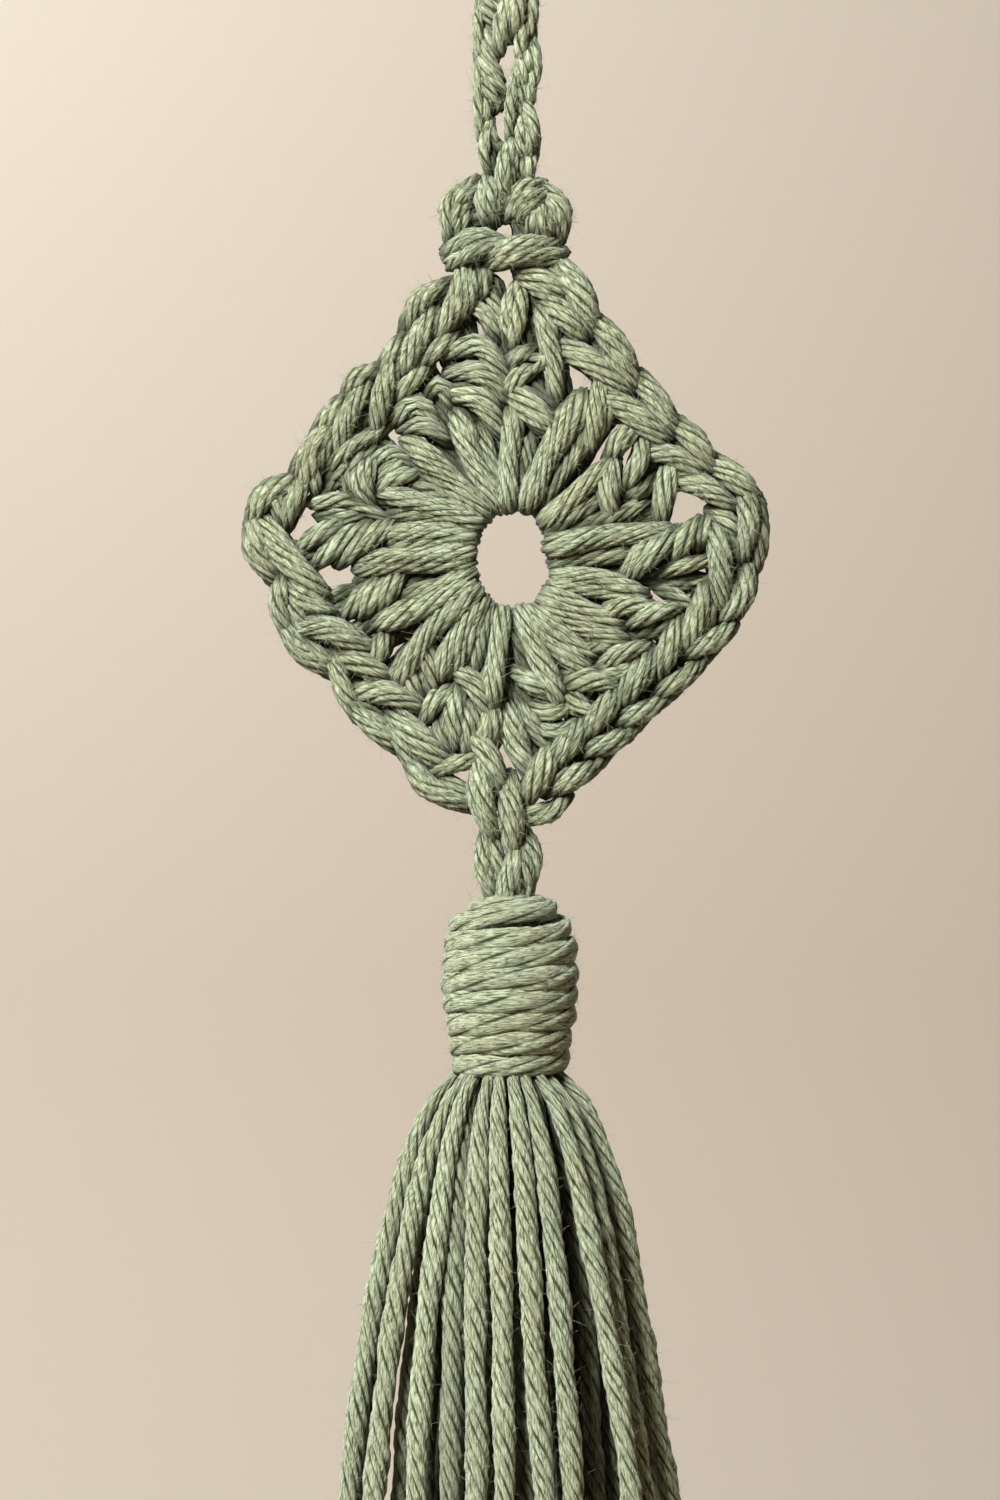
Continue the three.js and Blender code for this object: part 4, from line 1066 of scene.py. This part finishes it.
def tassel_strands():
    """Strands of the tassel: those in front as they hang, then the rings round the back and within."""
    chance = np.random.default_rng(SKIRT.seed)
    strands = [skirt_strand(*strand, chance) for strand in SKIRT_FRONT]
    for ring in SKIRT_RINGS:
        for angle in np.linspace(ring.first, ring.last, ring.strands):
            drift = chance.uniform(-SKIRT.drift, SKIRT.drift)
            strands.append(skirt_strand(angle + drift, angle - drift, ring.spread, chance))
    return strands


def soft_light(lamp, watts):
    """A square soft light at the lamp's place, turned to its target."""
    light = bpy.data.lights.new(lamp.name, "AREA")
    light.color = linear(lamp.colour)[:3]
    light.size = lamp.size
    light.energy = watts
    holder = bpy.data.objects.new(lamp.name, light)
    back = unit(np.subtract(lamp.place, lamp.target))
    across = unit(np.cross((0.0, 0.0, 1.0), back))
    turn = np.eye(4)
    turn[:3] = np.column_stack([across, np.cross(back, across), back, lamp.place])
    holder.matrix_world = turn.T.tolist()
    bpy.context.scene.collection.objects.link(holder)


def sweep(studio):
    """Floor and backdrop in one sheet: straight floor, a quarter circle, then straight up."""
    arc = np.linspace(0.0, np.pi / 2, SWEEP.stations)
    curve_y = studio.wall_y - SWEEP.bend + SWEEP.bend * np.sin(arc)
    curve_z = studio.floor_z + SWEEP.bend - SWEEP.bend * np.cos(arc)
    y = np.concatenate([[SWEEP.front], curve_y, [studio.wall_y]])
    z = np.concatenate([[studio.floor_z], curve_z, [SWEEP.top]])
    x = np.array([-SWEEP.half_width, SWEEP.half_width])
    points = np.stack(np.broadcast_arrays(x[None, :], y[:, None], z[:, None]), axis=-1).reshape(-1, 3)
    first = 2 * np.arange(len(y) - 1)
    quads = np.column_stack([first, first + 1, first + 3, first + 2])
    mesh = bpy.data.meshes.new("studio_sweep")
    mesh.from_pydata(points.tolist(), [], quads.tolist())
    mesh.shade_smooth()
    mesh.materials.append(plain_material("studio_paint", studio.paint, SWEEP.roughness))
    sheet = bpy.data.objects.new("studio_sweep", mesh)
    bpy.context.scene.collection.objects.link(sheet)


def length_setting(name, description, millimetres):
    """A length that a user can change, given in millimetres."""
    return bpy.props.FloatProperty(
        name=name, description=description, default=millimetres * MM, unit="LENGTH"
    )


def share_setting(name, description, share):
    """A share that a user can change."""
    return bpy.props.FloatProperty(name=name, description=description, default=share, subtype="FACTOR")


def number_setting(name, description, number):
    """A plain number that a user can change."""
    return bpy.props.FloatProperty(name=name, description=description, default=number)


def power_setting(name, description, watts):
    """The power of a light that a user can change."""
    return bpy.props.FloatProperty(name=name, description=description, default=watts, unit="POWER")


def colour_setting(name, description, colour):
    """A colour that a user can change, given as sRGB hex."""
    return bpy.props.FloatVectorProperty(
        name=name, description=description, default=linear(colour), size=4, subtype="COLOR"
    )


class CrochetYarn(bpy.types.PropertyGroup):
    """How the yarn is made."""

    thickness: length_setting("Thickness", "Across the plied yarn", 2.3)
    worked_lay: number_setting(
        "Worked lay", "One full turn of the plies where the yarn is worked, in half widths", 13.0
    )
    wound_lay: number_setting("Wound lay", "The same on the wound head", 16.0)
    free_lay: number_setting("Free lay", "The same where the yarn hangs free", 12.0)
    worked_ply: length_setting("Worked ply", "Width of a ply round the yarn where it is worked", 0.85)
    wound_ply: length_setting("Wound ply", "The same on the wound head", 1.8)
    free_ply: length_setting("Free ply", "The same where the yarn hangs free", 1.2)
    ply_spread: share_setting("Ply spread", "How much the plies differ in width", 0.35)
    corner_width: length_setting("Corner width", "Distance between corners round a ply", 0.35)
    valley: share_setting("Valley", "Bottom of a groove from the middle of the yarn, in half widths", 0.74)
    beat: length_setting("Beat", "Length along the yarn in which a groove fades and comes back", 4.5)
    closing: share_setting("Closing", "How far a groove fills up where it fades, in half widths", 0.05)
    fading: share_setting("Fading", "How much of a groove's shade goes where it fades", 0.42)
    unevenness: share_setting("Unevenness", "How much plies and strands differ", 0.08)
    roughness: share_setting("Roughness", "How rough the skin of a ply is", 0.035)
    step: length_setting("Step", "Distance between rings of corners", 0.85)
    free_step: length_setting("Free step", "The same where the yarn hangs free", 1.25)
    end_share: share_setting("End share", "Size of the last ring, as a share", 0.05)
    fibre_lean: share_setting(
        "Fibre lean", "How far the fibres turn back from the plies, 1 for along the yarn", 0.85
    )
    fibres_per_metre: number_setting("Stray fibres", "Loose fibres on a metre of yarn", 9000.0)
    fibre_depth: share_setting("Fibre depth", "How deep in the work yarn still has loose fibres", 0.35)
    fibre_spread: number_setting("Fibre spread", "How far loose fibres lean from straight out", 1.8)
    fibre_bend: share_setting("Fibre bend", "How far loose fibres curl, as a share of their length", 0.9)
    fibre_length: length_setting("Fibre length", "Longest loose fibre", 1.3)
    fibre_thickness: length_setting(
        "Fibre thickness", "Across a loose fibre, drawn thicker than cotton's so that it shows", 0.028
    )


class CrochetCotton(bpy.types.PropertyGroup):
    """How the cotton looks."""

    light: colour_setting("Light", "Crowns of the fibres", "d4d8b6")
    cool: colour_setting("Cool", "Crowns where the dye is cooler", "cfd8ba")
    dark: colour_setting("Dark", "Between the fibres", "5f6d46")
    # Painted shade: the dark colour laid in the grooves between the plies and on yarn deep in the work.
    groove: colour_setting("Groove", "Between the plies", "292f10")
    roughness: share_setting("Roughness", "Roughness of the fibres", 0.85)
    sheen: share_setting("Sheen", "Glow of the fuzz at a grazing view", 0.25)
    streak_width: length_setting("Streak width", "Width of a bundle of fibres", 0.16)
    streak_length: length_setting("Streak length", "Length of a bundle of fibres", 1.1)
    blotch_size: length_setting("Blotch size", "Across a soft blotch of dye", 4.76)
    relief: length_setting("Relief", "Height of the fibres", 0.2)


class CrochetStudio(bpy.types.PropertyGroup):
    """The studio round the ornament."""

    distance: length_setting("Distance", "Camera to ornament", 600.0)
    field: length_setting("Field", "Height of the view at the ornament", 150.0)
    centre_x: length_setting("Centre X", "Middle of the view, to the right", -0.8)
    centre_z: length_setting("Centre Z", "Middle of the view, upwards", -91.5)
    key_watts: power_setting("Key light", "Power of the window-like light", 5.8)
    backdrop_watts: power_setting("Backdrop light", "Power of the light on the backdrop", 21.5)
    back_watts: power_setting("Back light", "Power of the light from behind", 3.0)
    fill: number_setting("Fill", "Strength of the light from all round", 0.1)
    air: colour_setting("Air", "Colour of the light from all round", "e6cfae")
    floor_z: length_setting("Floor", "Height of the floor", -600.0)
    wall_y: length_setting("Backdrop", "Distance of the backdrop behind", 2200.0)
    paint: colour_setting("Paint", "Pale paint of floor and backdrop", "efdcc8")


class CROCHET_OT_hanging_loop(bpy.types.Operator):
    """Works the hanging chain and its loop"""

    bl_idname = "crochet.hanging_loop"
    bl_label = "Hanging loop"

    def execute(self, context):
        work_piece(context, "hanging_loop", hanging_loop_strands(), seed=3)
        return {"FINISHED"}


class CROCHET_OT_hitch(bpy.types.Operator):
    """Works the hitch between the chain and the motif"""

    bl_idname = "crochet.hitch"
    bl_label = "Hitch"

    def execute(self, context):
        work_piece(context, "hitch", laid_strands(HITCH_STRANDS, (0.0, 0.0)), seed=5)
        return {"FINISHED"}


class CROCHET_OT_centre_round(bpy.types.Operator):
    """Works the trebles of the centre"""

    bl_idname = "crochet.centre_round"
    bl_label = "Centre round"

    def execute(self, context):
        work_piece(context, "centre_round", centre_strands(), seed=7, fuzz=0.5, depth=SHADE.depth)
        return {"FINISHED"}


class CROCHET_OT_edging_round(bpy.types.Operator):
    """Works the edging of the motif"""

    bl_idname = "crochet.edging_round"
    bl_label = "Edging round"

    def execute(self, context):
        work_piece(context, "edging_round", edging_strands(), seed=11, depth=SHADE.depth)
        return {"FINISHED"}


class CROCHET_OT_tassel_link(bpy.types.Operator):
    """Works the link between the motif and the tassel"""

    bl_idname = "crochet.tassel_link"
    bl_label = "Tassel link"

    def execute(self, context):
        work_piece(context, "tassel_link", laid_strands(LINK_STRANDS, (0.0, 0.0)), seed=13)
        return {"FINISHED"}


class CROCHET_OT_tassel_wrap(bpy.types.Operator):
    """Winds the head of the tassel"""

    bl_idname = "crochet.tassel_wrap"
    bl_label = "Tassel head"

    def execute(self, context):
        upright = np.array([0.0, 0.0, 1.0])
        yarn = context.scene.crochet_yarn
        work_piece(
            context, "tassel_wrap", [winding_rows()], seed=17, ply=yarn.wound_ply, lay=yarn.wound_lay,
            across=upright, round_axis=True, depth=SHADE.head_share,
        )
        return {"FINISHED"}


class CROCHET_OT_tassel(bpy.types.Operator):
    """Hangs the strands of the tassel"""

    bl_idname = "crochet.tassel"
    bl_label = "Tassel"

    def execute(self, context):
        yarn = context.scene.crochet_yarn
        work_piece(
            context, "tassel", tassel_strands(), seed=19, ply=yarn.free_ply, lay=yarn.free_lay,
            step=yarn.free_step, round_axis=True, fuzz=0.25, depth=SHADE.skirt_share,
        )
        return {"FINISHED"}


class CROCHET_OT_studio(bpy.types.Operator):
    """Sets the floor, the backdrop, the lights and the camera"""

    bl_idname = "crochet.studio"
    bl_label = "Studio"

    def execute(self, context):
        scene = context.scene
        studio = scene.crochet_studio
        sweep(studio)
        soft_light(KEY_LAMP, studio.key_watts)
        soft_light(BACKDROP_LAMP, studio.backdrop_watts)
        soft_light(BACK_LAMP, studio.back_watts)
        world = bpy.data.worlds.new("studio_air")
        world.use_nodes = True
        air = world.node_tree.nodes["Background"]
        air.inputs["Color"].default_value = studio.air
        air.inputs["Strength"].default_value = studio.fill
        scene.world = world
        scene.view_settings.view_transform = "Standard"
        # The sensor's width spans the taller side of the view.
        lens = bpy.data.cameras.new("front_camera")
        lens.lens = lens.sensor_width * studio.distance / studio.field
        camera = bpy.data.objects.new("front_camera", lens)
        camera.location = (studio.centre_x, -studio.distance, studio.centre_z)
        camera.rotation_euler = (math.pi / 2, 0.0, 0.0)
        scene.collection.objects.link(camera)
        scene.camera = camera
        return {"FINISHED"}


class CROCHET_PT_ornament(bpy.types.Panel):
    """Lists the steps that make the ornament"""

    bl_idname = "CROCHET_PT_ornament"
    bl_label = "Crochet ornament"
    bl_space_type = "VIEW_3D"
    bl_region_type = "UI"
    bl_category = "Crochet"

    def draw(self, context):
        for operator in OPERATORS:
            self.layout.operator(operator.bl_idname)


GROUPS = {"crochet_yarn": CrochetYarn, "crochet_cotton": CrochetCotton, "crochet_studio": CrochetStudio}
OPERATORS = (
    CROCHET_OT_hanging_loop,
    CROCHET_OT_hitch,
    CROCHET_OT_centre_round,
    CROCHET_OT_edging_round,
    CROCHET_OT_tassel_link,
    CROCHET_OT_tassel_wrap,
    CROCHET_OT_tassel,
    CROCHET_OT_studio,
)


def register():
    """Adds the settings to the scene, then the steps and their panel."""
    for name, group in GROUPS.items():
        bpy.utils.register_class(group)
        setattr(bpy.types.Scene, name, bpy.props.PointerProperty(type=group))
    for operator in OPERATORS:
        bpy.utils.register_class(operator)
    bpy.utils.register_class(CROCHET_PT_ornament)


def unregister():
    """Takes the panel, the steps and the settings away again."""
    bpy.utils.unregister_class(CROCHET_PT_ornament)
    for operator in reversed(OPERATORS):
        bpy.utils.unregister_class(operator)
    for name, group in reversed(GROUPS.items()):
        delattr(bpy.types.Scene, name)
        bpy.utils.unregister_class(group)


def main():
    """Works the whole ornament."""
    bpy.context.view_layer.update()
    register()
    bpy.ops.crochet.hanging_loop()
    bpy.ops.crochet.hitch()
    bpy.ops.crochet.centre_round()
    bpy.ops.crochet.edging_round()
    bpy.ops.crochet.tassel_link()
    bpy.ops.crochet.tassel_wrap()
    bpy.ops.crochet.tassel()
    bpy.ops.crochet.studio()
    bpy.context.view_layer.update()


if __name__ == "__main__":
    main()
